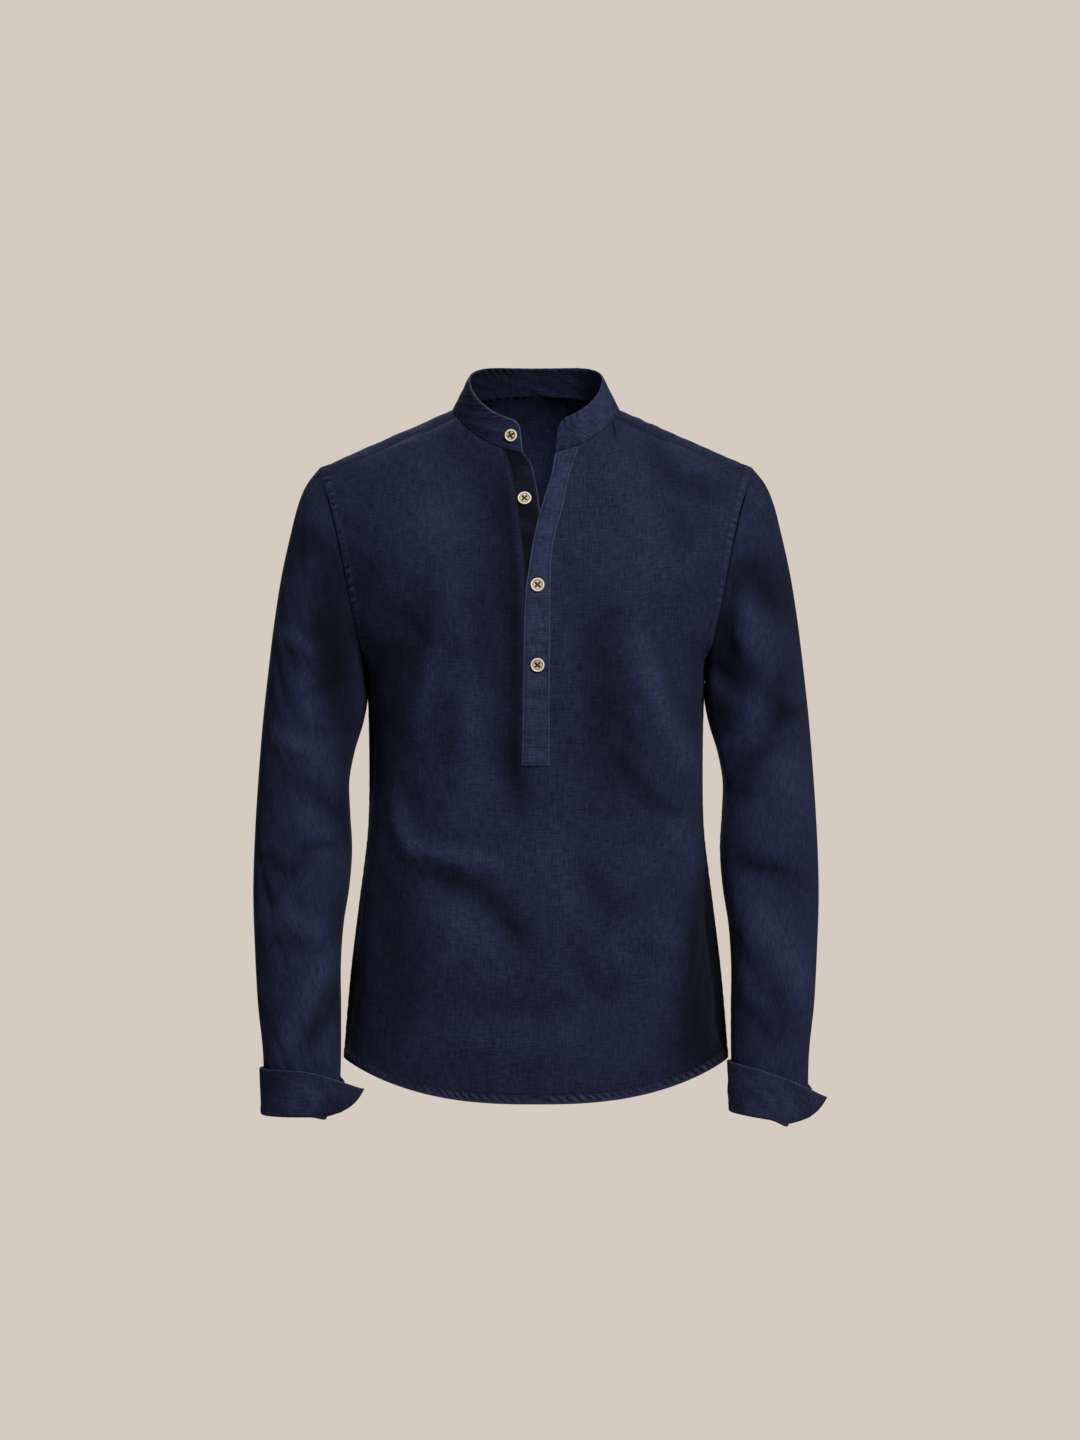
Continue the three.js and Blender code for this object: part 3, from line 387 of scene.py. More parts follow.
def softened(line: Array, reach: int) -> Array:
    """A line of places with its corners eased: bell-weighted means along it, its ends held.

    Args:
        line: The places.
        reach: The bell's half width, in places.

    Returns:
        As many places.
    """
    weights = bell(np.arange(-2 * reach, 2 * reach + 1), reach)
    padded = np.pad(line, ((2 * reach, 2 * reach), (0, 0)), mode="edge")
    windows = np.lib.stride_tricks.sliding_window_view(padded, len(weights), axis=0)
    return windows @ (weights / weights.sum())


def fold_height(folds: Sequence[Fold], x: Array, z: Array) -> Array:
    """Height of the folds: each a bell across its line, easing to nothing at the line's ends.

    Args:
        folds: The ridges and troughs.
        x: Place across the cloth.
        z: Place up the cloth.

    Returns:
        The summed height at each place.
    """
    total = np.zeros(np.broadcast(x, z).shape)
    for fold in folds:
        run_x = fold.x1 - fold.x0
        run_z = fold.z1 - fold.z0
        length = math.hypot(run_x, run_z)
        share = ((x - fold.x0) * run_x + (z - fold.z0) * run_z) / length**2
        off = ((x - fold.x0) * run_z - (z - fold.z0) * run_x) / length
        fade = smooth(share / 0.4) * smooth((1 - share) / 0.4)
        total += fold.height * fade * bell(2 * off, fold.width)
    return total


def creased(creases: Sequence[Crease], x: Array, z: Array) -> tuple[Array, Array]:
    """Relief and painted shading of creases: a bell of the distance to each line, weaker towards its ends.

    Args:
        creases: The creases.
        x: Places across.
        z: Heights.

    Returns:
        The height at each place, an eighth of a crease's width up to 3 mm, and the painted shading
        there: painted light above zero, painted shade below.
    """
    relief = np.zeros(np.broadcast(x, z).shape)
    dye = np.zeros_like(relief)
    for crease in creases:
        nearest = np.full_like(relief, np.inf)
        along = np.zeros_like(relief)
        for number, ((x0, z0), (x1, z1)) in enumerate(zip(crease.line, crease.line[1:])):
            run_x = x1 - x0
            run_z = z1 - z0
            share = ((x - x0) * run_x + (z - z0) * run_z) / (run_x**2 + run_z**2)
            share = np.clip(share, 0.0, 1.0)
            miss = np.hypot(x - x0 - share * run_x, z - z0 - share * run_z)
            along = np.where(miss < nearest, number + share, along)
            nearest = np.minimum(nearest, miss)
        pieces = len(crease.line) - 1
        ends = smooth(0.25 + 2.6 * np.minimum(along, pieces - along) / pieces)
        curve = crease.strength * ends * bell(2 * nearest, crease.width)
        relief += min(crease.width, WIDEST_RELIEF) / 8 * curve
        dye += curve
    return relief, MOST_PAINTED_SHADING * np.tanh(dye / MOST_PAINTED_SHADING)


def ripple(along: Array, pitch: float, seed: int) -> Array:
    """Uneven ripples along a seam: a sine whose phase and size drift with slower sines.

    Args:
        along: Distance along the seam.
        pitch: Distance from one ripple to the next.
        seed: Picks the drift.

    Returns:
        The ripple from -1 to 1.
    """
    first, second, third = np.random.default_rng(seed).uniform(0, 2 * math.pi, 3)
    drift = 1.5 * np.sin(along / (2.7 * pitch) + first) + 0.9 * np.sin(along / (1.4 * pitch) + second)
    size = 0.62 + 0.38 * np.sin(along / (2.2 * pitch) + third)
    return size * np.sin(2 * math.pi * along / pitch + drift)


def rumple(across: Array, up: Array, size: float, seed: int) -> Array:
    """Soft unevenness of worn linen: sixteen seeded plane waves added up.

    Args:
        across: Distance across the cloth.
        up: Distance up the cloth.
        size: Middle wavelength.
        seed: Picks the waves.

    Returns:
        A height of about -1 to 1.
    """
    chance = np.random.default_rng(seed)
    total = np.zeros(np.broadcast(across, up).shape)
    for turn, stretch, phase in zip(
        chance.uniform(0, math.pi, 16), chance.uniform(0.6, 1.8, 16), chance.uniform(0, 2 * math.pi, 16)
    ):
        reach = 2 * math.pi / (size * stretch)
        total += np.sin(reach * (across * math.cos(turn) + up * math.sin(turn)) + phase)
    return total / 4.0


@dataclass(frozen=True)
class BodyForm:
    """The worn body's cloth: rounded sections by height that roll over the shoulders."""

    shoulder_fall: float = 0.441
    shoulder_roll: float = 95.0
    power: float = 2.2
    armpit: float = -262.0
    armhole_top: float = -61.1
    neck_half_width: float = 86.0
    neck_half_depth: float = 63.0
    neck_middle_y: float = -5.0
    neck_side_z: float = -0.5
    neck_front_fall: float = 48.5
    neck_back_rise: float = 17.5
    yoke_neck_angle: float = 76.0
    yoke_front_end: float = 22.2
    yoke_back_end: float = -50.8
    yoke_back_middle_z: float = -92.0
    yoke_corner_share: float = 0.5
    yoke_bow: float = 0.08
    hem_front: float = -713.5
    hem_back: float = -728.0
    hem_front_rise: float = 41.5
    hem_back_rise: float = 56.0
    hem_half_width: float = 199.0
    hem_power: float = 2.6

    def ridge(self, x: Array) -> Array:
        """Height of the shoulder's ridge, falling evenly away from the neck."""
        return (self.neck_half_width - np.abs(x)) * self.shoulder_fall

    def edge(self, z: Array, face: Array) -> Array:
        """How far out the panel's edge lies: on the armhole above the armpit, on the side seam below."""
        hole = np.where(face < 0, FRONT_ARMHOLE(z), BACK_ARMHOLE(z))
        return np.where(z > self.armpit, hole, HALF_WIDTH(z))

    def point(self, x: Array, z: Array, face: Array) -> Array:
        """A place on the cloth from x and z: a superellipse section whose depth rolls over the shoulder.

        Args:
            x: Place across, on the wearer's left above zero.
            z: Height.
            face: FRONT or BACK.

        Returns:
            Places with the folds already in them.
        """
        half = HALF_WIDTH(z)
        share = np.minimum(np.abs(x) / half, 1.0)
        drop = np.maximum((self.ridge(x) - z) / self.shoulder_roll, 0.0)
        roll = np.where(drop < 1, np.sqrt(np.maximum(1 - (1 - drop) ** 2, 0.0)), 1.0)
        depth = np.where(face < 0, FRONT_DEPTH(z), BACK_DEPTH(z))
        section = (1 - share**self.power) ** (1 / self.power)
        out_x = np.sign(x) * share ** (self.power - 1) / half
        out_y = face * section ** (self.power - 1) / depth
        length = np.maximum(np.hypot(out_x, out_y), 1e-9)
        front = fold_height(FRONT_FOLDS, x, z)
        back = fold_height(BACK_FOLDS, x, z)
        room = smooth((self.edge(z, face) - np.abs(x)) / 14) * smooth((self.ridge(x) - 20 - z) / 40)
        height = room * np.where(face < 0, front, back)
        return place(x + out_x / length * height, face * depth * section * roll + out_y / length * height, z)

    def roll_angle(self, x: Array, z: Array, face: Array) -> Array:
        """Turn over the shoulder, 0 on the ridge and growing down the face."""
        drop = (self.ridge(x) - z) / self.shoulder_roll
        curved = np.arccos(1 - np.clip(drop, 0.0, 1.0))
        return face * np.where(drop <= 1, curved, math.pi / 2 + drop - 1)

    def on_cloth(self, x: Array, angle: Array) -> Array:
        """The place on the cloth at x and at a turn over the shoulder."""
        turn = np.abs(angle)
        drop = np.where(turn <= math.pi / 2, 1 - np.cos(turn), 1 + turn - math.pi / 2)
        return self.point(x, self.ridge(x) - self.shoulder_roll * drop, np.where(angle < 0, FRONT, BACK))

    def neck_ring(self, degrees: Array) -> Array:
        """Neck seam: an ellipse by degrees from the front middle towards +X, low in front, high behind."""
        sine = np.sin(np.radians(degrees))
        cosine = np.cos(np.radians(degrees))
        fall = self.neck_front_fall * np.maximum(cosine, 0.0) ** 1.5
        rise = self.neck_back_rise * np.maximum(-cosine, 0.0) ** 1.5
        return place(
            self.neck_half_width * sine,
            self.neck_middle_y - self.neck_half_depth * cosine,
            self.neck_side_z - fall + rise,
        )

    def armhole(self, phi: Array) -> tuple[Array, Array, Array]:
        """Armhole seam's x, z and face on the +X side: 0 on the shoulder, 90 in front, 180 in the armpit."""
        z = blend(self.armpit, self.armhole_top, (1 + np.cos(np.radians(phi))) / 2)
        face = np.where(np.sin(np.radians(phi)) >= 0, FRONT, BACK)
        return self.edge(np.maximum(z, self.armpit + 1e-6), face), z, face

    def yoke_point(self, share: Array, out: Array) -> Array:
        """Yoke cloth between the neck seam and the outer seams, evenly by turn over the shoulder.

        Args:
            share: -1 to 1 from the right front seam round the back to the left one.
            out: 0 at the neck to 1 at the outer seam.

        Returns:
            Places on the yoke.
        """
        side = np.where(share < 0, -1.0, 1.0)
        turn = np.abs(share)
        ring = self.neck_ring(side * (180 - (180 - self.yoke_neck_angle) * turn))
        ring_face = np.where((ring[..., 1] < 0) & (turn > 0.8), FRONT, BACK)
        inner_roll = self.roll_angle(ring[..., 0], ring[..., 2], ring_face)
        corner_x, corner_z, _ = self.armhole(np.asarray(self.yoke_back_end))
        to_front = np.maximum(turn - self.yoke_corner_share, 0) / (1 - self.yoke_corner_share)
        hole_x, hole_z, hole_face = self.armhole(blend(self.yoke_back_end, self.yoke_front_end, to_front))
        seam_share = np.minimum(turn / self.yoke_corner_share, 1.0)
        seam_x = corner_x * seam_share
        seam_z = blend(self.yoke_back_middle_z, corner_z, seam_share**2)
        on_seam = turn <= self.yoke_corner_share
        seam_roll = self.roll_angle(seam_x, seam_z, BACK)
        hole_roll = self.roll_angle(hole_x, hole_z, hole_face)
        outer_x = side * np.where(on_seam, seam_x, hole_x)
        bow = self.yoke_bow * np.sin(math.pi * out) * smooth((turn - 0.7) / 0.3)
        roll = blend(inner_roll, np.where(on_seam, seam_roll, hole_roll), out) - bow
        x = blend(ring[..., 0], outer_x, out)
        miss = ring - self.on_cloth(ring[..., 0], inner_roll)
        return self.on_cloth(x, roll) + miss * ((1 - out) ** 2)[..., None]

    def hem(self, x: Array, face: float) -> Array:
        """Height of the hem: lowest at the middle, rising as a power of the distance to the side seam."""
        rise = self.hem_front_rise if face < 0 else self.hem_back_rise
        lowest = self.hem_front if face < 0 else self.hem_back
        return lowest + rise * np.minimum(np.abs(x) / self.hem_half_width, 1.0) ** self.hem_power

    def panel(
        self, face: float, top: Array, heights: Array, foot: float, x_at: Callable[[Array], Array]
    ) -> Array:
        """A body panel: columns from the hem to a top edge, which they meet exactly.

        Args:
            face: FRONT or BACK.
            top: The top edge's places, one for each column.
            heights: 0 to 1 up the panel.
            foot: The share of the height at which the front's opening ends.
            x_at: Where each column runs at a height.

        Returns:
            A grid of places, rows upwards and columns across.
        """
        low = self.hem(x_at(self.hem(top[:, 0], face)), face)
        rows = heights[:, None]
        knee = OPENING[0].z
        below = blend(low, knee, rows / foot)
        above = blend(knee, top[:, 2], (rows - foot) / (1 - foot))
        z = np.where(rows < foot, below, above)
        miss = top - self.point(x_at(top[:, 2]), top[:, 2], face)
        soft = softened(miss, 14)
        reach = smooth((rows - 0.6) / 0.4)[..., None]
        exact = smooth((rows - 0.95) / 0.05)[..., None]
        return self.point(x_at(z), z, face) + reach * blend(soft, miss, exact)

    def section_angle(self, x: Array, z: Array) -> Array:
        """The angle whose sine is the share of the half width."""
        return np.arcsin(np.clip(x / HALF_WIDTH(z), -1.0, 1.0))


class MeshData(NamedTuple):
    """A mesh before it goes into Blender: vertices, quads, a UV for each corner, and named marks."""

    vertices: Array
    quads: Array
    uvs: Array | None = None
    marks: dict[str, Array] | None = None


@dataclass
class ClothGrid:
    """A grid of mid-cloth places, rows up the cloth, columns across, facing out where they cross."""

    points: Array
    tube: bool = False
    thickness: Array = field(default_factory=lambda: np.array(1.1))
    wear: Array = field(default_factory=lambda: np.array(0.0))
    # Uneven dye plus painted shade and painted light, read by the cloth's material.
    dye: Array = field(default_factory=lambda: np.array(0.0))
    keep: Array | None = None

    def pulled(self, edge: str, distance: float | Array) -> None:
        """Moves one edge inwards along the cloth.

        Args:
            edge: bottom, top, first or last.
            distance: How far, for all the edge or for each place on it.
        """
        here, inner = {
            "bottom": ((0, slice(None)), (1, slice(None))),
            "top": ((-1, slice(None)), (-2, slice(None))),
            "first": ((slice(None), 0), (slice(None), 1)),
            "last": ((slice(None), -1), (slice(None), -2)),
        }[edge]
        inwards = unit(self.points[inner] - self.points[here])
        self.points[here] = self.points[here] + inwards * np.asarray(distance)[..., None]

    def _tangents(self) -> tuple[Array, Array]:
        """Steps across and up between the neighbours of each place."""
        if self.tube:
            across = np.roll(self.points, -1, axis=1) - np.roll(self.points, 1, axis=1)
        else:
            across = np.gradient(self.points, axis=1)
        return across, np.gradient(self.points, axis=0)

    def normals(self) -> Array:
        """Outward directions, across times up."""
        across, up = self._tangents()
        return unit(np.cross(across, up))

    def across(self) -> Array:
        """Distance across the cloth from the first column, along each row."""
        steps = np.linalg.norm(np.diff(self.points, axis=1), axis=-1)
        return np.concatenate([np.zeros((len(self.points), 1)), np.cumsum(steps, axis=1)], axis=1)

    def up(self) -> Array:
        """Distance up the cloth from the bottom row, along each column."""
        steps = np.linalg.norm(np.diff(self.points, axis=0), axis=-1)
        return np.concatenate([np.zeros((1, self.points.shape[1])), np.cumsum(steps, axis=0)], axis=0)

    def raise_by(self, relief: Array) -> None:
        """Moves the cloth out by a height for each place."""
        self.points = self.points + self.normals() * np.asarray(relief)[..., None]

    def face(self) -> Array:
        """The places on the cloth's outer face."""
        return self.points + self.normals() * (np.asarray(self.thickness) / 2)[..., None]

    def line(self, edge: str, distance: float) -> tuple[Array, Array]:
        """A line on the outer face at one distance from an edge.

        Args:
            edge: bottom, top, first or last.
            distance: How far in from that edge, along the cloth.

        Returns:
            The line's places and the outward directions there.
        """
        turned = edge in ("bottom", "top")
        back = edge in ("top", "last")
        grids = [self.face(), self.normals()]
        grids = [grid.swapaxes(0, 1) if turned else grid for grid in grids]
        face, out = [grid[:, ::-1] if back else grid for grid in grids]
        steps = np.linalg.norm(np.diff(face, axis=1), axis=-1)
        run = np.concatenate([np.zeros((len(face), 1)), np.cumsum(steps, axis=1)], axis=1)
        before = np.clip((run < distance).sum(axis=1) - 1, 0, run.shape[1] - 2)
        row = np.arange(len(face))
        span = run[row, before + 1] - run[row, before]
        t = np.clip((distance - run[row, before]) / np.maximum(span, 1e-9), 0, 1)[:, None]
        places = blend(face[row, before], face[row, before + 1], t)
        return places, unit(blend(out[row, before], out[row, before + 1], t))

    def shell(self) -> MeshData:
        """A closed thin wall: both faces half the thickness off, and a rounded rim along every edge.

        Returns:
            The wall's mesh, with UVs in metres along the cloth.
        """
        rows, columns = self.points.shape[:2]
        out = self.normals()
        half = np.broadcast_to(self.thickness, (rows, columns))[..., None] / 2
        outer = (self.points + out * half).reshape(-1, 3)
        inner = (self.points - out * half).reshape(-1, 3)
        number = np.arange(rows * columns).reshape(rows, columns)
        beside = np.roll(number, -1, axis=1) if self.tube else number[:, 1:]
        here = number if self.tube else number[:, :-1]
        quads = np.stack([here[:-1], beside[:-1], beside[1:], here[1:]], axis=-1)
        across, up = self._texture_lines()
        corners = np.stack(
            [
                np.stack([across[:-1, :-1], across[:-1, 1:], across[1:, 1:], across[1:, :-1]], axis=-1),
                np.stack([up[:-1, :-1], up[:-1, 1:], up[1:, 1:], up[1:, :-1]], axis=-1),
            ],
            axis=-1,
        )
        kept = np.ones(quads.shape[:2], bool) if self.keep is None else self.keep
        quads = quads[kept]
        corners = corners[kept]
        rim, rim_quads, rim_corners, rim_source = self._rim(quads, corners, outer, inner, out)
        vertices = np.concatenate([outer, inner, rim])
        faces = np.concatenate([quads, quads[:, ::-1] + len(outer), rim_quads])
        uvs = np.concatenate([corners, corners[:, ::-1], rim_corners])
        used, compact = np.unique(faces, return_inverse=True)
        marks = {}
        # Marks for the material: wear, and uneven dye with painted shade and painted light.
        for name, value in (("wear", self.wear), ("dye", self.dye)):
            flat = np.broadcast_to(value, (rows, columns)).ravel()
            marks[name] = np.concatenate([flat, flat, flat[rim_source]])[used]
        return MeshData(vertices[used], compact.reshape(faces.shape), uvs, marks)

    def _texture_lines(self) -> tuple[Array, Array]:
        """Distances across and up, with one column more on a tube, where it meets itself."""
        across = self.across()
        up = self.up()
        if self.tube:
            closing = np.linalg.norm(self.points[:, 0] - self.points[:, -1], axis=-1)[:, None]
            across = np.concatenate([across, across[:, -1:] + closing], axis=1)
            up = np.concatenate([up, up[:, :1]], axis=1)
        middle = across[:, across.shape[1] // 2][:, None]
        return across - middle, up

    def _rim(
        self, quads: Array, corners: Array, outer: Array, inner: Array, out: Array
    ) -> tuple[Array, Array, Array, Array]:
        """The rounded rim: edges that one quad alone uses, joined through a line pushed out past them.

        Args:
            quads: The outer face's quads.
            corners: Their UVs.
            outer: The outer face's places.
            inner: The inner face's places.
            out: The outward directions.

        Returns:
            The rim's new vertices, its quads and UVs, and the grid place that each vertex copies.
        """
        total = len(outer)
        starts = quads.ravel()
        ends = np.roll(quads, -1, axis=1).ravel()
        lone = ~np.isin(starts * total + ends, ends * total + starts)
        start = starts[lone]
        end = ends[lone]
        start_uv = corners.reshape(-1, 2)[lone]
        end_uv = np.roll(corners, -1, axis=1).reshape(-1, 2)[lone]
        normal = out.reshape(-1, 3)
        past = np.cross(unit(outer[end] - outer[start]), normal[start])
        push = np.zeros((total, 3))
        np.add.at(push, start, past)
        np.add.at(push, end, past)
        source = np.unique(start)
        half = np.linalg.norm(outer - inner, axis=1)[source, None] / 2
        rim = (outer[source] + inner[source]) / 2 + unit(push[source]) * half * 0.8
        place_of = np.zeros(total, int)
        place_of[source] = 2 * total + np.arange(len(source))
        first = np.stack([end, start, place_of[start], place_of[end]], axis=-1)
        second = np.stack([place_of[end], place_of[start], start + total, end + total], axis=-1)
        uv = np.stack([end_uv, start_uv, start_uv, end_uv], axis=1)
        return rim, np.concatenate([first, second]), np.concatenate([uv, uv]), source


def make_object(name: str, data: MeshData, material: bpy.types.Material) -> bpy.types.Object:
    """Puts a mesh into Blender in metres, smooth, with its UVs and its marks.

    Args:
        name: The piece's name.
        data: The mesh in millimetres. A quad whose last two corners are equal becomes a triangle.
        material: Its finish.

    Returns:
        The new object, at the origin.
    """
    mesh = bpy.data.meshes.new(name)
    three = data.quads[:, 2] == data.quads[:, 3]
    sizes = np.where(three, 3, 4)
    corner_used = np.ones(data.quads.shape, bool)
    corner_used[three, 3] = False
    mesh.vertices.add(len(data.vertices))
    mesh.vertices.foreach_set("co", (data.vertices * MM).ravel())
    mesh.loops.add(int(sizes.sum()))
    mesh.loops.foreach_set("vertex_index", data.quads[corner_used])
    mesh.polygons.add(len(sizes))
    mesh.polygons.foreach_set("loop_start", np.concatenate([[0], np.cumsum(sizes)[:-1]]))
    mesh.polygons.foreach_set("loop_total", sizes)
    mesh.polygons.foreach_set("use_smooth", np.ones(len(sizes), bool))
    mesh.update(calc_edges=True)
    if data.uvs is not None:
        layer = mesh.uv_layers.new(name="UVMap")
        layer.data.foreach_set("uv", (data.uvs[corner_used] * MM).ravel())
    for mark, value in (data.marks or {}).items():
        values = mesh.attributes.new(mark, "FLOAT", "POINT")
        values.data.foreach_set("value", value.astype(np.float32))
    mesh.validate()
    mesh.materials.append(material)
    item = bpy.data.objects.new(name, mesh)
    bpy.context.scene.collection.objects.link(item)
    return item


def joined(parts: Sequence[MeshData]) -> MeshData:
    """Several meshes without UVs as one.

    Args:
        parts: The meshes.

    Returns:
        All their vertices and quads, renumbered.
    """
    starts = np.cumsum([0, *[len(part.vertices) for part in parts[:-1]]])
    quads = [part.quads + start for part, start in zip(parts, starts)]
    return MeshData(np.concatenate([part.vertices for part in parts]), np.concatenate(quads))


@dataclass(frozen=True)
class Thread:
    """Sewing thread: how far apart its stitches are, and their size."""

    pitch: float = 3.1
    length: float = 2.3
    width: float = 0.62
    rise: float = 0.3

    def along(self, path: Array, out: Array, tight: float = 1.0) -> MeshData:
        """Stitches along a line: short four-sided beads, thin and sunk at both ends.

        Args:
            path: Places along the line on the cloth's face.
            out: The outward directions there.
            tight: Scales the pitch and the length.

        Returns:
            One mesh of all the stitches.
        """
        steps = np.linalg.norm(np.diff(path, axis=0), axis=1)
        run = np.concatenate([[0.0], np.cumsum(steps)])
        pitch = self.pitch * tight
        middles = np.arange(pitch, run[-1] - pitch / 2, pitch)
        stations = np.array([0.0, 0.18, 0.5, 0.82, 1.0])
        size = np.array([0.3, 0.85, 1.0, 0.85, 0.3])
        lift = np.array([-0.7, 0.35, 1.0, 0.35, -0.7]) * self.rise
        at = middles[:, None] + (stations - 0.5) * self.length * tight
        centre = np.stack([np.interp(at, run, path[:, axis]) for axis in range(3)], axis=-1)
        up = unit(np.stack([np.interp(at, run, out[:, axis]) for axis in range(3)], axis=-1))
        along = unit(np.gradient(centre, axis=1))
        beside = unit(np.cross(along, up))
        centre = centre + up * lift[:, None]
        ring = [beside, up, -beside, -up]
        flat = [1.0, 0.7, 1.0, 0.7]
        corners = [
            centre + direction * (size * self.width / 2 * scale)[:, None]
            for direction, scale in zip(ring, flat)
        ]
        vertices = np.stack(corners, axis=2).reshape(-1, 3)
        step = np.arange(4)[:, None] * 4
        corner = np.arange(4)[None, :]
        following = (corner + 1) % 4
        sides = np.stack([step + corner, step + 4 + corner, step + 4 + following, step + following], -1)
        caps = np.array([[0, 1, 2, 3], [19, 18, 17, 16]])
        one = np.concatenate([sides.reshape(-1, 4), caps])
        quads = (one[None] + np.arange(len(middles))[:, None, None] * 20).reshape(-1, 4)
        return MeshData(vertices, quads)

    def beside(
        self, grid: ClothGrid, edge: str, distance: float,
        part: slice | Array = slice(None), tight: float = 1.0,
    ) -> MeshData:
        """Stitches along a line beside one edge of a grid.

        Args:
            grid: The cloth.
            edge: bottom, top, first or last.
            distance: How far in from that edge.
            part: Which places of the line they follow.
            tight: Scales the pitch and the length.

        Returns:
            One mesh of all the stitches.
        """
        path, out = grid.line(edge, distance)
        return self.along(path[part], out[part], tight)


@dataclass(frozen=True)
class Nodes:
    """A node tree with short calls to add its nodes."""

    tree: bpy.types.NodeTree

    def add(self, kind: str, values: dict[str | int, object], **settings: object) -> bpy.types.Node:
        """Adds a node.

        Args:
            kind: Blender's name for the node.
            values: Its inputs, each a number, a tuple or a socket to link from.
            settings: Its properties.

        Returns:
            The node.
        """
        node = self.tree.nodes.new(kind)
        for key, value in settings.items():
            setattr(node, key, value)
        for key, value in values.items():
            if isinstance(value, bpy.types.NodeSocket):
                self.tree.links.new(value, node.inputs[key])
            else:
                node.inputs[key].default_value = value
        return node

    def math(self, operation: str, first: object, second: object = 0.0) -> bpy.types.NodeSocket:
        """The result of a Math node."""
        return self.add("ShaderNodeMath", {0: first, 1: second}, operation=operation).outputs[0]

    def scaled(self, vector: object, scale: tuple[float, float, float]) -> bpy.types.NodeSocket:
        """A vector times a scale for each axis."""
        return self.add(
            "ShaderNodeVectorMath", {0: vector, 1: scale}, operation="MULTIPLY"
        ).outputs[0]

    def noise(self, vector: object, detail: float = 2.0, roughness: float = 0.5) -> bpy.types.NodeSocket:
        """Noise of size one on a vector."""
        values = {"Vector": vector, "Scale": 1.0, "Detail": detail, "Roughness": roughness}
        return self.add("ShaderNodeTexNoise", values).outputs["Fac"]

    def spread(self, value: object, low: float, high: float) -> bpy.types.NodeSocket:
        """A value's range low to high as 0 to 1."""
        values = {"Value": value, "From Min": low, "From Max": high}
        return self.add("ShaderNodeMapRange", values).outputs[0]

    def surface(self, values: dict[str | int, object]) -> None:
        """A Principled BSDF with these inputs as the material's surface."""
        shader = self.add("ShaderNodeBsdfPrincipled", values)
        self.add("ShaderNodeOutputMaterial", {"Surface": shader.outputs[0]})

    def mixed(self, share: object, first: object, last: object) -> bpy.types.NodeSocket:
        """A colour between two colours."""
        node = self.add("ShaderNodeMix", {}, data_type="RGBA")
        for socket, value in ((node.inputs[0], share), (node.inputs[6], first), (node.inputs[7], last)):
            if isinstance(value, bpy.types.NodeSocket):
                self.tree.links.new(value, socket)
            else:
                socket.default_value = value
        return node.outputs[2]


def new_material(name: str) -> tuple[bpy.types.Material, Nodes]:
    """A material whose node tree is empty, and the calls that fill it."""
    material = bpy.data.materials.new(name)
    material.use_nodes = True
    material.node_tree.nodes.clear()
    return material, Nodes(material.node_tree)


def new_group(name: str, entry: str) -> tuple[bpy.types.NodeTree, Nodes, bpy.types.NodeSocket]:
    """A shader node group from one vector to Tone and Height.

    Args:
        name: The group's name.
        entry: Its input's name.

    Returns:
        The group, the calls that fill it, and the socket of its input.
    """
    tree = bpy.data.node_groups.new(name, "ShaderNodeTree")
    tree.interface.new_socket(entry, in_out="INPUT", socket_type="NodeSocketVector")
    for output in ("Tone", "Height"):
        tree.interface.new_socket(output, in_out="OUTPUT", socket_type="NodeSocketFloat")
    nodes = Nodes(tree)
    return tree, nodes, nodes.add("NodeGroupInput", {}).outputs[entry]


def weave_group() -> bpy.types.NodeTree:
    """Linen's plain weave on UVs in metres: crossing threads with thick and thin places.

    Returns:
        A group that gives Tone, light and dark threads, and Height for a bump.
    """
    tree, nodes, uv = new_group("LinenWeave", "UV")
    warp = nodes.spread(nodes.noise(nodes.scaled(uv, (800.0, 75.0, 1.0)), 3.0, 0.6), 0.3, 0.7)
    weft = nodes.spread(nodes.noise(nodes.scaled(uv, (75.0, 740.0, 1.0)), 3.0, 0.6), 0.3, 0.7)
    streak = nodes.spread(nodes.noise(nodes.scaled(uv, (380.0, 22.0, 1.0)), 2.0, 0.5), 0.3, 0.7)
    axes = nodes.add("ShaderNodeSeparateXYZ", {0: uv}).outputs
    across = nodes.math("SINE", nodes.math("MULTIPLY", axes[0], 2 * math.pi / 0.0011))
    up = nodes.math("SINE", nodes.math("MULTIPLY", axes[1], 2 * math.pi / 0.0011))
    cross = nodes.math("MULTIPLY", across, up)
    slubs = nodes.math("ADD", warp, weft)
    tone = nodes.math("ADD", nodes.math("MULTIPLY", slubs, 0.50), nodes.math("MULTIPLY", streak, 0.16))
    height = nodes.math("ADD", slubs, nodes.math("MULTIPLY", cross, 0.22))
    nodes.add("NodeGroupOutput", {"Tone": tone, "Height": height})
    return tree


def mottle_group() -> bpy.types.NodeTree:
    """Uneven dye and soft handling marks on Object coordinates.

    Returns:
        A group that gives Tone for the colour and Height for a bump.
    """
    tree, nodes, where = new_group("WashedMottle", "Place")
    broad = nodes.spread(nodes.noise(nodes.scaled(where, (22.0, 22.0, 22.0)), 3.0, 0.55), 0.3, 0.7)
    fine = nodes.spread(nodes.noise(nodes.scaled(where, (150.0, 150.0, 150.0)), 3.0, 0.6), 0.3, 0.7)
    soft = nodes.noise(nodes.scaled(where, (55.0, 55.0, 55.0)), 3.0, 0.55)
    tone = nodes.math("ADD", nodes.math("MULTIPLY", broad, 0.5), nodes.math("MULTIPLY", fine, 0.5))
    nodes.add("NodeGroupOutput", {"Tone": tone, "Height": soft})
    return tree


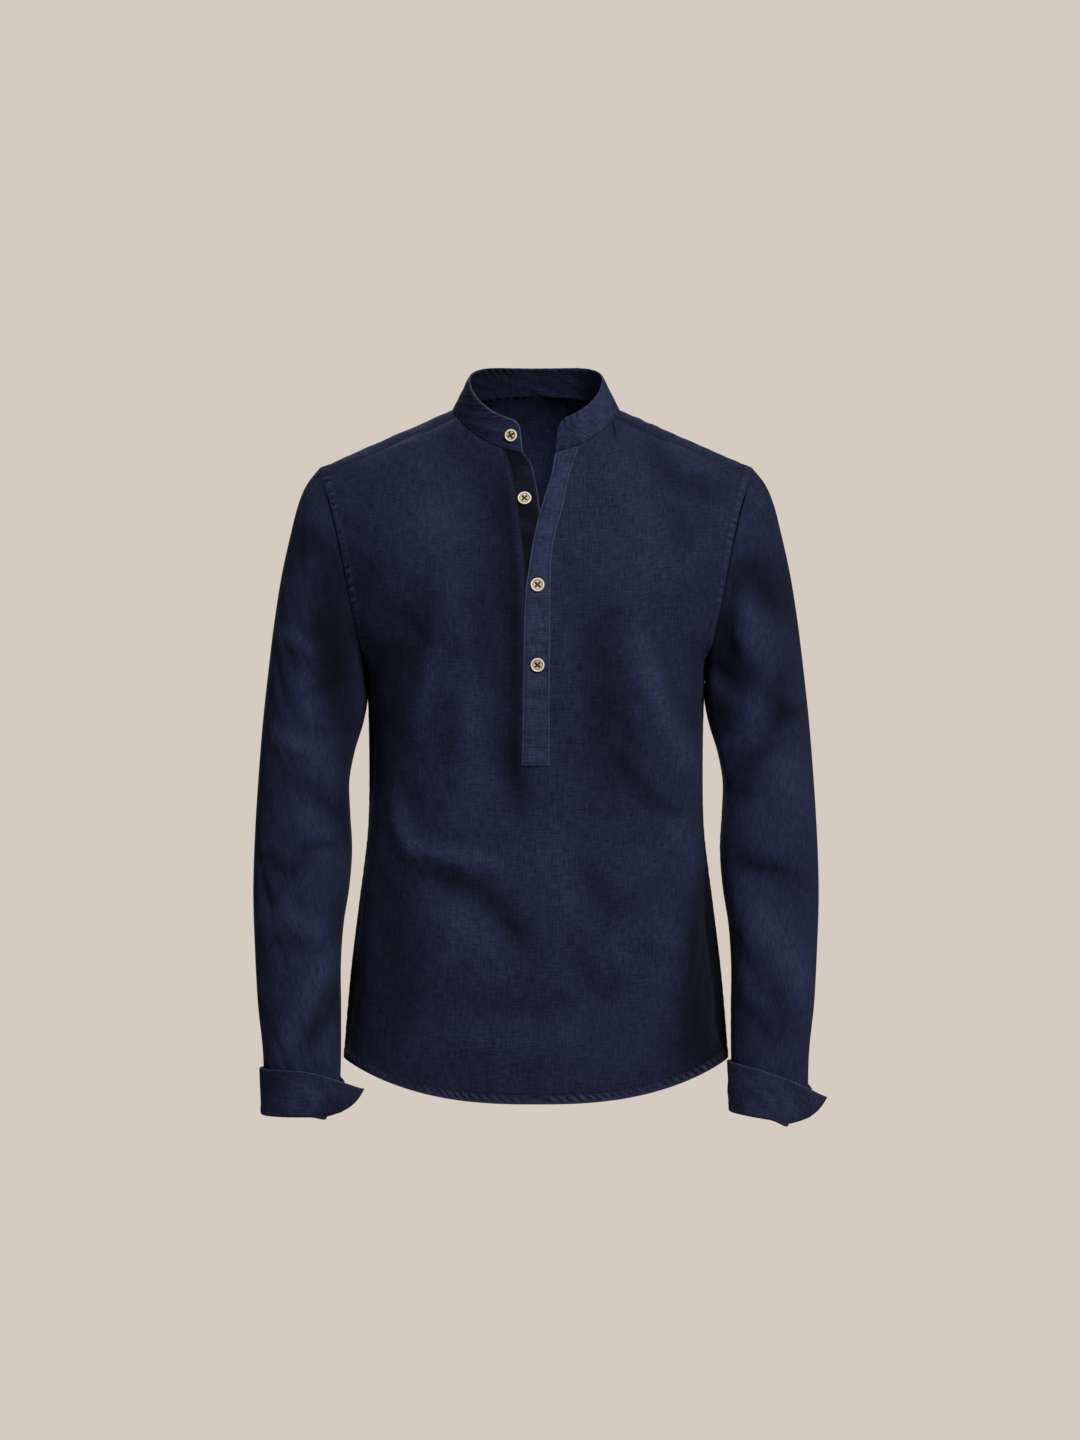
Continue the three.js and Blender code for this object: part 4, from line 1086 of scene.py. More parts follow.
@dataclass(frozen=True)
class LinenFinish:
    """Washed navy linen: dark warp, paler weft, and paler still where edges have worn."""

    name: str = "washed_navy_linen"
    dark: tuple[float, float, float, float] = (0.0040, 0.0041, 0.0095, 1.0)
    light: tuple[float, float, float, float] = (0.0430, 0.0520, 0.1260, 1.0)
    worn: tuple[float, float, float, float] = (0.1100, 0.1240, 0.2150, 1.0)
    roughness: float = 0.86
    sheen: float = 0.05
    sheen_roughness: float = 0.45
    sheen_tint: tuple[float, float, float, float] = (0.45, 0.52, 0.95, 1.0)
    weave_depth: float = 0.00030
    crease_depth: float = 0.0022

    def material(self, weave: bpy.types.NodeTree, mottle: bpy.types.NodeTree) -> bpy.types.Material:
        """The cloth's material.

        Args:
            weave: The weave group.
            mottle: The mottle group.

        Returns:
            A material that reads the cloth's UVs, its wear, its uneven dye with painted shade and painted
            light, and Object coordinates.
        """
        material, nodes = new_material(self.name)
        coordinates = nodes.add("ShaderNodeTexCoord", {}).outputs
        threads = nodes.add("ShaderNodeGroup", {}, node_tree=weave)
        nodes.tree.links.new(coordinates["UV"], threads.inputs["UV"])
        marks = nodes.add("ShaderNodeGroup", {}, node_tree=mottle)
        nodes.tree.links.new(coordinates["Object"], marks.inputs["Place"])
        wear = nodes.add("ShaderNodeAttribute", {}, attribute_name="wear").outputs["Fac"]
        dye = nodes.add("ShaderNodeAttribute", {}, attribute_name="dye").outputs["Fac"]
        tone = nodes.math("MULTIPLY", threads.outputs["Tone"], 0.70)
        tone = nodes.math("ADD", tone, nodes.math("MULTIPLY", marks.outputs["Tone"], 0.22))
        tone = nodes.math("SUBTRACT", tone, 0.115)
        # The mark scales and shifts the tone: painted shade below zero, painted light above.
        painted_shading_scale = nodes.math("ADD", nodes.math("MULTIPLY", dye, 0.60), 1.0)
        tone = nodes.math("ADD", nodes.math("MULTIPLY", tone, painted_shading_scale), nodes.math("MULTIPLY", dye, 0.05))
        colour = nodes.mixed(tone, self.dark, self.light)
        rubbed_and_painted_shade = nodes.math("MULTIPLY", wear, nodes.math("ADD", threads.outputs["Tone"], 0.15))
        colour = nodes.mixed(rubbed_and_painted_shade, colour, self.worn)
        soft = nodes.add(
            "ShaderNodeBump",
            {"Height": marks.outputs["Height"], "Distance": self.crease_depth, "Strength": 0.55},
        )
        bump = nodes.add(
            "ShaderNodeBump",
            {
                "Height": threads.outputs["Height"], "Distance": self.weave_depth, "Strength": 0.9,
                "Normal": soft.outputs[0],
            },
        )
        nodes.surface(
            {
                "Base Color": colour, "Roughness": self.roughness, "Normal": bump.outputs[0],
                "Sheen Weight": self.sheen, "Sheen Roughness": self.sheen_roughness,
                "Sheen Tint": self.sheen_tint, "Specular IOR Level": 0.10,
            }
        )
        return material


@dataclass(frozen=True)
class ThreadFinish:
    """Cotton sewing thread with its twist."""

    name: str = "navy_thread"
    dark: tuple[float, float, float, float] = (0.010, 0.0115, 0.028, 1.0)
    light: tuple[float, float, float, float] = (0.046, 0.053, 0.108, 1.0)
    roughness: float = 0.7
    twist: float = 1400.0

    def material(self) -> bpy.types.Material:
        """A thread material: slanted twist bands and slow tone drift on Object coordinates."""
        material, nodes = new_material(self.name)
        where = nodes.add("ShaderNodeTexCoord", {}).outputs["Object"]
        bands = nodes.noise(nodes.scaled(where, (self.twist, self.twist, self.twist)), 2.0, 0.5)
        drift = nodes.noise(nodes.scaled(where, (60.0, 60.0, 60.0)), 2.0, 0.5)
        tone = nodes.spread(nodes.math("ADD", bands, drift), 0.7, 1.3)
        bump = nodes.add("ShaderNodeBump", {"Height": bands, "Distance": 0.0002, "Strength": 0.6})
        colour = nodes.mixed(tone, self.dark, self.light)
        nodes.surface({"Base Color": colour, "Roughness": self.roughness, "Normal": bump.outputs[0]})
        return material


@dataclass(frozen=True)
class ButtonFinish:
    """Pale polished button material with faint grain."""

    name: str = "pale_button"
    dark: tuple[float, float, float, float] = (0.50, 0.36, 0.23, 1.0)
    light: tuple[float, float, float, float] = (0.82, 0.65, 0.46, 1.0)
    edge: tuple[float, float, float, float] = (1.0, 0.92, 0.76, 1.0)
    # Colour of the painted shade beside the rim and down its outer edge.
    rubbed_and_painted_shade: tuple[float, float, float, float] = (0.16, 0.10, 0.06, 1.0)
    roughness: float = 0.34

    def material(self) -> bpy.types.Material:
        """A pale material with grain lines, a paler rim, and painted shade beside the rim and on its outer
        edge, from the mark "rim".
        """
        material, nodes = new_material(self.name)
        where = nodes.add("ShaderNodeTexCoord", {}).outputs["Object"]
        grain = nodes.noise(nodes.scaled(where, (900.0, 300.0, 180.0)), 4.0, 0.6)
        cloud = nodes.noise(nodes.scaled(where, (260.0, 260.0, 260.0)), 3.0, 0.5)
        tone = nodes.spread(nodes.math("ADD", grain, cloud), 0.65, 1.25)
        rough = nodes.math("ADD", nodes.math("MULTIPLY", grain, 0.25), self.roughness - 0.12)
        rim = nodes.add("ShaderNodeAttribute", {}, attribute_name="rim").outputs["Fac"]
        colour = nodes.mixed(nodes.spread(rim, 0.0, 1.0), nodes.mixed(tone, self.dark, self.light), self.edge)
        colour = nodes.mixed(nodes.spread(rim, 0.0, -1.0), colour, self.rubbed_and_painted_shade)
        bump = nodes.add("ShaderNodeBump", {"Height": grain, "Distance": 0.0001, "Strength": 0.4})
        nodes.surface({"Base Color": colour, "Roughness": rough, "Normal": bump.outputs[0]})
        return material


@dataclass
class Finishes:
    """The materials that the pieces share."""

    cloth: bpy.types.Material
    thread: bpy.types.Material
    button_thread: bpy.types.Material
    button: bpy.types.Material

    @classmethod
    def make(cls) -> "Finishes":
        """All the materials."""
        return cls(
            LinenFinish().material(weave_group(), mottle_group()),
            ThreadFinish().material(),
            ThreadFinish("dark_thread", (0.002, 0.002, 0.004, 1.0), (0.006, 0.006, 0.012, 1.0)).material(),
            ButtonFinish().material(),
        )


def dress(item: bpy.types.Object, slot: str, *nodes: str) -> bpy.types.Object:
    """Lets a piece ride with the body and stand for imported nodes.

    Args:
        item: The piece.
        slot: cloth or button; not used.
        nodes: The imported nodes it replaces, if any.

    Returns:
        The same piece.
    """
    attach(item, "root")
    if nodes:
        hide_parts(*nodes)
    log.info("%s: %d faces", item.name, len(item.data.polygons))
    return item


def cloth_piece(
    grid: ClothGrid, name: str, node: str, finishes: Finishes
) -> None:
    """Args:
        grid: The cloth.
        name: The piece's name.
        node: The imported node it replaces.
        finishes: The materials.
    """
    item = dress(make_object(name, grid.shell(), finishes.cloth), "cloth", node)


def stitching(parts: Sequence[MeshData], name: str, material: bpy.types.Material) -> None:
    """Joins stitches into one piece of thread."""
    dress(make_object(name, joined(parts), material), "cloth")


@dataclass
class Seams:
    """Sewn relief: felled bands, stitch grooves and puckers, in millimetres, and the painted shading of
    felled seams.
    """

    band_width: float = 10.4
    band_rise: float = 0.5
    stitch_at: float = 9.0
    hem_stitch: float = 8.6
    groove: float = 0.40
    pucker: float = 0.62

    def felled(self, distance: Array, along: Array, seed: int) -> Array:
        """A felled seam beside an edge: a raised band, a groove at its stitching, and puckers.

        Args:
            distance: How far each place is from the edge.
            along: Distance along the seam.
            seed: Picks the puckers.

        Returns:
            The relief at each place.
        """
        band = self.band_rise * smooth((self.band_width - distance) / 1.3 + 0.5)
        line = -self.groove * bell(distance, 0.8, self.stitch_at)
        inner = bell(distance, 4.0, 5.5) * ripple(along, 8.5, seed)
        beyond = bell(distance, 5.0, 12.0) * ripple(along + 2.0, 11.0, seed + 1)
        return band + line + self.pucker * (inner + 0.6 * beyond)

    def felled_painted_shading(self, distance: Array, along: Array, seed: int) -> Array:
        """A felled seam's painted shading: painted shade in its seam and its stitching groove, painted light
        and shade along its puckers, lighter on its band.
        """
        seam = bell(distance, 1.3)
        line = bell(distance - self.stitch_at, 1.2, 0.5)
        band = bell(distance, 3.4, 5.0)
        return 2.0 * band * ripple(along, 8.2, seed) + 0.5 * band - 1.2 * line - 0.4 * seam

    def hemmed(self, distance: Array, along: Array, seed: int) -> Array:
        """A turned hem: a groove at its stitching, and slanting ropy puckers below it.

        Args:
            distance: How far each place is from the hem's edge.
            along: Distance along the hem.
            seed: Picks the puckers.

        Returns:
            The relief at each place.
        """
        line = -0.35 * bell(distance, 0.9, self.hem_stitch)
        rope = bell(distance, 3.6, 4.5) * ripple(along + 1.3 * distance, 9.5, seed)
        beyond = bell(distance, 5.5, 12.5) * ripple(along, 12.5, seed + 1)
        return line + 0.7 * rope + 0.3 * beyond

    def pressed(self, distance: Array, along: Array, seed: int) -> Array:
        """A plain seam turned and stitched close to the edge: a groove and small puckers."""
        line = -0.22 * bell(distance, 0.7, 1.9)
        return line + 0.16 * bell(distance, 6.0) * ripple(along, 10.0, seed)


@dataclass
class BodyPanels:
    """Front, back and yoke: the three pieces of the body, with their stitching."""

    form: BodyForm
    seams: Seams
    thread: Thread
    neckline_share: float = 0.3
    foot_share: float = 0.52
    seam_half_gap: float = 0.14
    neck_seam_inset: float = 0.4
    wall: float = 1.1
    hem_wall: float = 1.9
    rumple_rise: float = 0.45
    stitches: list[MeshData] = field(default_factory=list)

    def heights(self) -> Array:
        """Rows up a panel, close together at the hem and at the top, with one at the opening's foot."""
        foot = self.foot_share
        return runs((0.0, 0.02, 10), (0.02, foot, 105), (foot, 0.98, 88), (0.98, 1.0, 7))

    def opening_corner(self, side: Side) -> float:
        """Where the neck seam crosses one edge of the opening, in degrees."""
        degrees = side.value * np.linspace(5, 45, 40001)
        ring = self.form.neck_ring(degrees)
        past = np.abs(ring[:, 0]) >= np.abs(OPENING_EDGE[side](ring[:, 2]))
        return float(degrees[np.argmax(past)])

    def front_top(self, side: Side, share: Array) -> Array:
        """The front's top edge: along the neck seam, then down the yoke seam to the armhole."""
        reach = np.minimum(share / self.neckline_share, 1.0)
        ring = self.form.neck_ring(
            blend(self.opening_corner(side), side.value * self.form.yoke_neck_angle, reach)
        )
        out = np.clip((share - self.neckline_share) / (1 - self.neckline_share), 0.0, 1.0)
        seam = self.form.yoke_point(np.full_like(share, side.value), out)
        return np.where((share < self.neckline_share)[:, None], ring, seam)

    def front_side(self, side: Side, shares: Array) -> Array:
        """The front's columns on one side of its opening."""
        def x_at(z: Array) -> Array:
            inner = self.form.section_angle(OPENING_EDGE[side](z), z)
            hole = self.form.section_angle(FRONT_ARMHOLE(z), z)
            outer = side.value * np.where(z > self.form.armpit, hole, math.pi / 2)
            return HALF_WIDTH(z) * np.sin(blend(inner, outer, shares))

        return self.form.panel(FRONT, self.front_top(side, shares), self.heights(), self.foot_share, x_at)

    def front_grid(self) -> tuple[ClothGrid, int]:
        """The front as one grid with a slot for the plackets.

        Returns:
            The grid, and the column of the slot's right edge.
        """
        shares = runs((0.0, 0.024, 4), (0.024, 0.3, 30), (0.3, 0.945, 48), (0.945, 1.0, 13))
        right = self.front_side(Side.RIGHT, shares)[:, ::-1]
        left = self.front_side(Side.LEFT, shares)
        top = self.form.point(np.zeros(1), np.full(1, -47.0), FRONT)
        middle = self.form.panel(FRONT, top, self.heights(), self.foot_share, np.zeros_like)
        grid = ClothGrid(np.concatenate([right, middle, left], axis=1))
        slot = len(shares) - 1
        rows, columns = grid.points.shape[:2]
        foot = int(np.searchsorted(self.heights(), self.foot_share - 1e-9))
        grid.keep = np.ones((rows - 1, columns - 1), bool)
        grid.keep[foot:, slot : slot + 2] = False
        return grid, slot

    def finish_panel(
        self, grid: ClothGrid, creases: Sequence[Crease], seed: int, slot: int | None = None
    ) -> None:
        """Gives a panel its hem, felled armholes, side seams, puckers, rumple, wear and painted shading.

        Args:
            grid: The panel's grid, changed in place.
            creases: Its finer creases.
            seed: Picks its unevenness.
            slot: The column of the opening's right edge, on the front.
        """
        across = grid.across()
        up = grid.up()
        z = grid.points[..., 2]
        first = across
        last = across[:, -1:] - across
        top = up[-1:] - up
        by_arm = smooth((z - self.form.armpit + 4) / 10)
        relief = self.rumple_rise * rumple(across, up, 42.0, seed)
        relief += 0.12 * rumple(across, up, 18.0, seed + 1)
        # Painted shading of the creases, a little lighter overall, with painted shade growing towards the
        # hem.
        soft, grid.dye = creased(creases, grid.points[..., 0], z)
        grid.dye = grid.dye + 0.08 - 0.24 * smooth((-250 - z) / 450)
        nearest = np.minimum(first, last)
        clear = smooth((np.minimum(nearest, np.minimum(up, top)) - 2) / 16)
        relief = (relief + soft) * clear
        relief += self.seams.hemmed(up, across, seed + 2)
        for number, distance in enumerate((first, last)):
            relief += by_arm * self.seams.felled(distance, up, seed + 3 + 2 * number)
            # Painted light and shade of the felled armhole seams.
            grid.dye += by_arm * self.seams.felled_painted_shading(distance, up, seed + 3 + 2 * number)
            side_seam = -0.2 * bell(distance, 0.8, 6.0)
            side_seam += 0.22 * bell(distance, 8) * ripple(up, 14.0, seed + 9)
            relief += (1 - by_arm) * smooth((up - 9) / 4) * side_seam
        relief += self.seams.pressed(top, across, seed + 13)
        # Painted shade in the top seam and in the hem's stitch groove, and painted light and shade on the
        # hem's ropy puckers.
        grid.dye = grid.dye - 0.9 * bell(top, 1.2) - 0.9 * bell(up, 1.0, 8.8)
        roped = ripple(across + 1.3 * up, 9.5, seed + 2)
        grid.dye += (0.3 + 2.0 * roped) * bell(up, 3.6, 4.5)
        hem = smooth((9.4 - up) / 1.2 + 0.5)
        grid.thickness = self.wall + (self.hem_wall - self.wall) * hem
        edge = bell(up, 1.3)
        rope = np.clip(roped, 0, 1) * bell(up, 4.0, 4.5)
        arm = bell(nearest, 1.3, 9.6) + 0.6 * bell(nearest, 1.5)
        grid.wear = 0.35 * edge + 0.3 * rope + 0.12 * by_arm * arm + 0.1 * bell(top, 1.5)
        if slot is not None:
            right, left = (np.abs(across - across[:, at, None]) for at in (slot, slot + 2))
            away = smooth((np.minimum(right, left) - 1) / 14)
            calm = away + (1 - away) * smooth((-375 - z) / 20)
            relief *= np.where(up > 12, calm, 1.0)
        grid.raise_by(relief)

    def arm_stitches(self, grid: ClothGrid, above: float) -> None:
        """Stitches along both armhole bands of a panel, above a height."""
        for edge in ("first", "last"):
            path, out = grid.line(edge, self.seams.stitch_at)
            chosen = path[:, 2] > above
            self.stitches.append(self.thread.along(path[chosen], out[chosen]))

    def build(self, finishes: Finishes) -> None:
        self.build_front(finishes)
        self.build_back(finishes)
        self.build_yoke(finishes)
        stitching(self.stitches, "body_stitching", finishes.thread)

    def build_front(self, finishes: Finishes) -> None:
        """The front, with its slot, hem and armhole bands."""
        grid, slot = self.front_grid()
        grid.pulled("first", self.seam_half_gap)
        grid.pulled("last", self.seam_half_gap)
        grid.pulled("top", self.neck_seam_inset)
        self.finish_panel(grid, FRONT_CREASES, 11, slot)
        self.arm_stitches(grid, self.form.armpit + 4)
        self.stitches.append(self.thread.beside(grid, "bottom", self.seams.hem_stitch))
        cloth_piece(grid, "front_cloth", "front", finishes)

    def build_back(self, finishes: Finishes) -> None:
        """The back, from its hem to the yoke seam, columns running from +X to -X."""
        shares = -runs((-1.0, -0.955, 12), (-0.955, 0.955, 140), (0.955, 1.0, 12))
        top = self.form.yoke_point(shares * self.form.yoke_corner_share, np.ones_like(shares))

        def x_at(z: Array) -> Array:
            hole = self.form.section_angle(BACK_ARMHOLE(z), z)
            return HALF_WIDTH(z) * np.sin(np.where(z > self.form.armpit, hole, math.pi / 2) * shares)

        heights = runs((0.0, 0.02, 10), (0.02, 0.98, 180), (0.98, 1.0, 7))
        grid = ClothGrid(self.form.panel(BACK, top, heights, self.foot_share, x_at))
        for edge in ("first", "last", "top"):
            grid.pulled(edge, self.seam_half_gap)
        self.finish_panel(grid, BACK_CREASES, 31)
        self.arm_stitches(grid, self.form.armpit + 4)
        for edge in ("first", "last"):
            path, out = grid.line(edge, 6.0)
            chosen = path[:, 2] < self.form.armpit - 4
            self.stitches.append(self.thread.along(path[chosen], out[chosen]))
        self.stitches.append(self.thread.beside(grid, "bottom", self.seams.hem_stitch))
        cloth_piece(grid, "back_cloth", "back", finishes)

    def build_yoke(self, finishes: Finishes) -> None:
        """The yoke over both shoulders, stitched beside its front and back seams."""
        shares = runs((-1.0, -0.97, 6), (-0.97, 0.97, 168), (0.97, 1.0, 6))
        outs = runs((0.0, 0.06, 4), (0.06, 0.9, 26), (0.9, 1.0, 12))
        grid = ClothGrid(self.form.yoke_point(*np.broadcast_arrays(shares[None, :], outs[:, None])))
        for edge in ("first", "last", "top"):
            grid.pulled(edge, self.seam_half_gap)
        grid.pulled("bottom", self.neck_seam_inset)
        across = grid.across()
        up = grid.up()
        first = across
        last = across[:, -1:] - across
        outer = up[-1:] - up
        seam_at = np.minimum(first, last)
        by_arm = smooth((np.abs(shares) - self.form.yoke_corner_share) / 0.02)[None, :]
        clear = smooth((np.minimum(seam_at, np.minimum(up, outer)) - 1) / 12)
        relief = 0.35 * clear * rumple(across, up, 38.0, 51)
        relief += by_arm * self.seams.felled(outer, across, 52)
        relief += (1 - by_arm) * self.seams.pressed(outer, across, 54)
        relief += self.seams.pressed(seam_at, up, 55)
        relief += self.seams.pressed(up, across, 56)
        grid.thickness = np.full(relief.shape, self.wall)
        # Painted shading: the felled seams' painted light and shade, a little lighter overall, and painted
        # shade along the stitched seams.
        grid.dye = by_arm * self.seams.felled_painted_shading(outer, across, 52) + 0.15
        grid.dye -= 0.9 * bell(seam_at, 1.0)
        grid.dye -= 0.8 * bell(seam_at, 0.9, 3.2)
        arm = bell(outer, 1.3, 9.6) + 0.6 * bell(outer, 1.5)
        grid.wear = 0.12 * by_arm * arm + 0.15 * bell(seam_at, 1.6)
        grid.wear += 0.1 * (1 - by_arm) * bell(outer, 1.6)
        grid.raise_by(relief)
        half = np.abs(shares) > self.form.yoke_corner_share
        for edge, distance, part in (
            ("top", self.seams.stitch_at, half & (shares < 0)),
            ("top", self.seams.stitch_at, half & (shares > 0)),
            ("top", 2.0, ~half),
            ("first", 2.0, slice(None)),
            ("last", 2.0, slice(None)),
        ):
            self.stitches.append(self.thread.beside(grid, edge, distance, part))
        cloth_piece(grid, "yoke_cloth", "yoke", finishes)


@dataclass
class CollarBand:
    """The stand collar: a band on the neck seam, open in front, with rounded top corners."""

    form: BodyForm
    thread: Thread
    top_half_width: float = 69.0
    top_half_depth: float = 52.0
    top_middle_y: float = -14.0
    side_z: float = 31.2
    back_rise: float = 13.8
    rise_to: float = 0.9
    front_fall: float = 47.7
    bottom_from: float = 13.6
    bottom_to: float = 350.6
    top_from: float = 19.5
    top_to: float = 345.6
    corner_from: float = 12.0
    corner_to: float = 9.0
    length: float = 420.0
    height: float = 33.0
    foot_gap: float = 0.15
    wall: float = 2.1
    topstitch: float = 2.4

    def top(self, degrees: Array) -> Array:
        """The collar's top ring, by degrees from the front middle towards +X."""
        sine = np.sin(np.radians(degrees))
        cosine = np.cos(np.radians(degrees))
        fall = self.front_fall * np.maximum(cosine, 0.0) ** 1.1
        rise = self.back_rise * np.sin(math.pi / 2 * np.clip(-cosine / self.rise_to, 0.0, 1.0))
        return place(
            self.top_half_width * sine,
            self.top_middle_y - self.top_half_depth * cosine,
            self.side_z - fall + rise,
        )

    def point(self, share: Array, up: Array) -> Array:
        """A place on the band, straight between the neck seam and the top ring."""
        foot = self.form.neck_ring(blend(self.bottom_from, self.bottom_to, share))
        head = self.top(blend(self.top_from, self.top_to, share))
        return foot + (head - foot) * np.asarray(up)[..., None]

    def corner_height(self, share: Array) -> Array:
        """Share of the height that is left beside an end whose top corner is a quarter circle."""
        start = np.maximum(self.corner_from - share * self.length, 0.0)
        end = np.maximum(self.corner_to - (1 - share) * self.length, 0.0)
        lost = self.corner_from - np.sqrt(self.corner_from**2 - np.minimum(start, self.corner_from) ** 2)
        lost = lost + self.corner_to - np.sqrt(self.corner_to**2 - np.minimum(end, self.corner_to) ** 2)
        return 1 - lost / self.height

    def build(self, finishes: Finishes) -> None:
        shares = runs((0.0, 0.03, 14), (0.03, 0.975, 180), (0.975, 1.0, 12))
        ups = runs((0.0, 0.1, 3), (0.1, 0.88, 14), (0.88, 1.0, 5))
        grid = ClothGrid(self.point(shares[None, :], ups[:, None] * self.corner_height(shares)))
        turn = np.radians(blend(self.bottom_from, self.bottom_to, shares))
        sine = np.abs(np.sin(turn))
        cosine = np.maximum(np.cos(turn), 0.0)
        grid.pulled("bottom", self.foot_gap + self.wall / 2 * (0.34 * sine + 0.19 * cosine))
        across = grid.across()
        up = grid.up()
        top = up[-1:] - up
        edge = np.minimum(top, np.minimum(across, across[:, -1:] - across))
        relief = 0.25 * smooth((top - 3) / 6) * rumple(across, up, 26.0, 71)
        relief -= 0.22 * bell(edge, 0.8, self.topstitch)
        relief += 0.16 * bell(top, 7) * ripple(across, 11.0, 72)
        relief += 0.2 * bell(up, 6) * ripple(across, 9.0, 73)
        relief -= 0.22 * bell(up, 0.8, 2.2)
        grid.thickness = self.wall - 0.5 * smooth((1.6 - edge) / 1.6)
        by_end = smooth((shares - 0.62) / 0.12)[None, :]
        grid.wear = 0.7 * by_end * bell(edge, 0.9)
        # Painted shading: the wearer's left half painted lighter and the right half darker as the light
        # falls, uneven dye, painted light and shade on the puckers at the top and the foot, and painted shade
        # in the stitch grooves and the foot seam.
        grid.dye = 1.15 * np.sin(np.radians(shares * 360))[None, :] + 0.3 * rumple(across, up, 20.0, 74)
        grid.dye = grid.dye + 0.2 + 1.3 * bell(top, 8) * ripple(across, 8.6, 72)
        grid.dye += 0.9 * bell(up, 6) * ripple(across, 9.0, 73)
        grid.dye -= 0.6 * bell(edge, 0.8, self.topstitch)
        grid.dye -= 0.9 * bell(up, 1.1)
        grid.dye -= 0.5 * bell(up, 0.8, 2.4)
        grid.raise_by(relief)
        sewn = [
            self.thread.beside(grid, "top", self.topstitch, slice(2, -2), 0.9),
            self.thread.beside(grid, "bottom", 2.2, slice(2, -2), 0.9),
            self.thread.beside(grid, "first", self.topstitch, slice(2, -3), 0.9),
            self.thread.beside(grid, "last", self.topstitch, slice(2, -3), 0.9),
        ]
        cloth_piece(grid, "collar_cloth", "collar_band", finishes)
        stitching(sewn, "collar_stitching", finishes.thread)


@dataclass
class Placket:
    """One strip of the opening: its edges by height, its offset from the front's cloth, its wall."""

    form: BodyForm
    thread: Thread
    name: str
    left_edge: Callable[[Array], Array]
    right_edge: Callable[[Array], Array]
    offset: Callable[[Array], Array]
    wall: float
    flat: tuple[float, float]
    area: float
    bulge: float
    # fade: painted shading of the whole strip, painted light on the top placket's bulge and painted shadow on
    # the under placket beneath it.
    fade: float
    free_edge: str
    bottom: float = -369.0
    top_end: float = -47.0
    top_gap: float = 0.9
    edge_stitch: float = 2.3
    box_stitch: float = 18.7

    def build(self, finishes: Finishes) -> None:
        across = runs((0.0, 0.16, 9), (0.16, 0.84, 14), (0.84, 1.0, 9))[None, :]
        ups = runs((0.0, 0.07, 32), (0.07, 1.0, 150))[:, None]
        x_top = blend(self.left_edge(self.top_end), self.right_edge(self.top_end), across)
        ring = self.form.neck_ring(np.degrees(np.arcsin(x_top / self.form.neck_half_width)))
        z = blend(self.bottom, ring[..., 2] - self.top_gap, ups)
        x = blend(self.left_edge(z), self.right_edge(z), across)
        here = self.form.point(x, z, FRONT)
        beside = self.form.point(x + 1, z, FRONT) - here
        above = self.form.point(x, z + 1, FRONT) - here
        grid = ClothGrid(here + unit(np.cross(beside, above)) * self.offset(z)[..., None])
        run = grid.across()
        up = grid.up()
        edge = np.minimum(run, run[:, -1:] - run)
        ends = np.minimum(edge, up)
        relief = 0.22 * rumple(run, up, 24.0, 81) * smooth((ends - 1) / 5)
        relief += self.bulge * smooth(ends / 9)
        relief -= 0.25 * bell(ends, 0.8, self.edge_stitch)
        relief += 0.2 * bell(edge, 6) * ripple(up, 12.0, 82)
        relief -= 0.22 * bell(up, 0.9, self.box_stitch) * smooth((edge - 1.5) / 1.5)
        grid.thickness = self.wall - 0.5 * smooth((1.5 - ends) / 1.5)
        sides = [run, run[:, -1:] - run]
        free, held = sides if self.free_edge == "first" else sides[::-1]
        grid.wear = 0.7 * bell(free, 0.7) + 0.45 * bell(held, 0.6)
        # Painted shading of the creases, the strip's own painted shading (fade), uneven dye, and painted
        # shade in the stitch grooves.
        soft, grid.dye = creased(PLACKET_CREASES, x, z)
        relief += soft * smooth(ends / 3)
        grid.dye = grid.dye + self.fade + 0.25 * rumple(run, up, 34.0, 83)
        grid.dye -= 1.3 * bell(ends, 0.8, self.edge_stitch)
        grid.dye -= 1.3 * bell(up, 0.9, self.box_stitch)
        grid.raise_by(relief)
        sewn = [
            self.thread.beside(grid, "first", self.edge_stitch, slice(None), 0.9),
            self.thread.beside(grid, "last", self.edge_stitch, slice(None), 0.9),
            self.thread.beside(grid, "bottom", self.edge_stitch, slice(1, -1), 0.9),
            self.thread.beside(grid, "bottom", self.box_stitch, slice(1, -1), 0.9),
        ]
        cloth_piece(grid, f"{self.name}_cloth", self.name, finishes)
        stitching(sewn, f"{self.name}_stitching", finishes.thread)


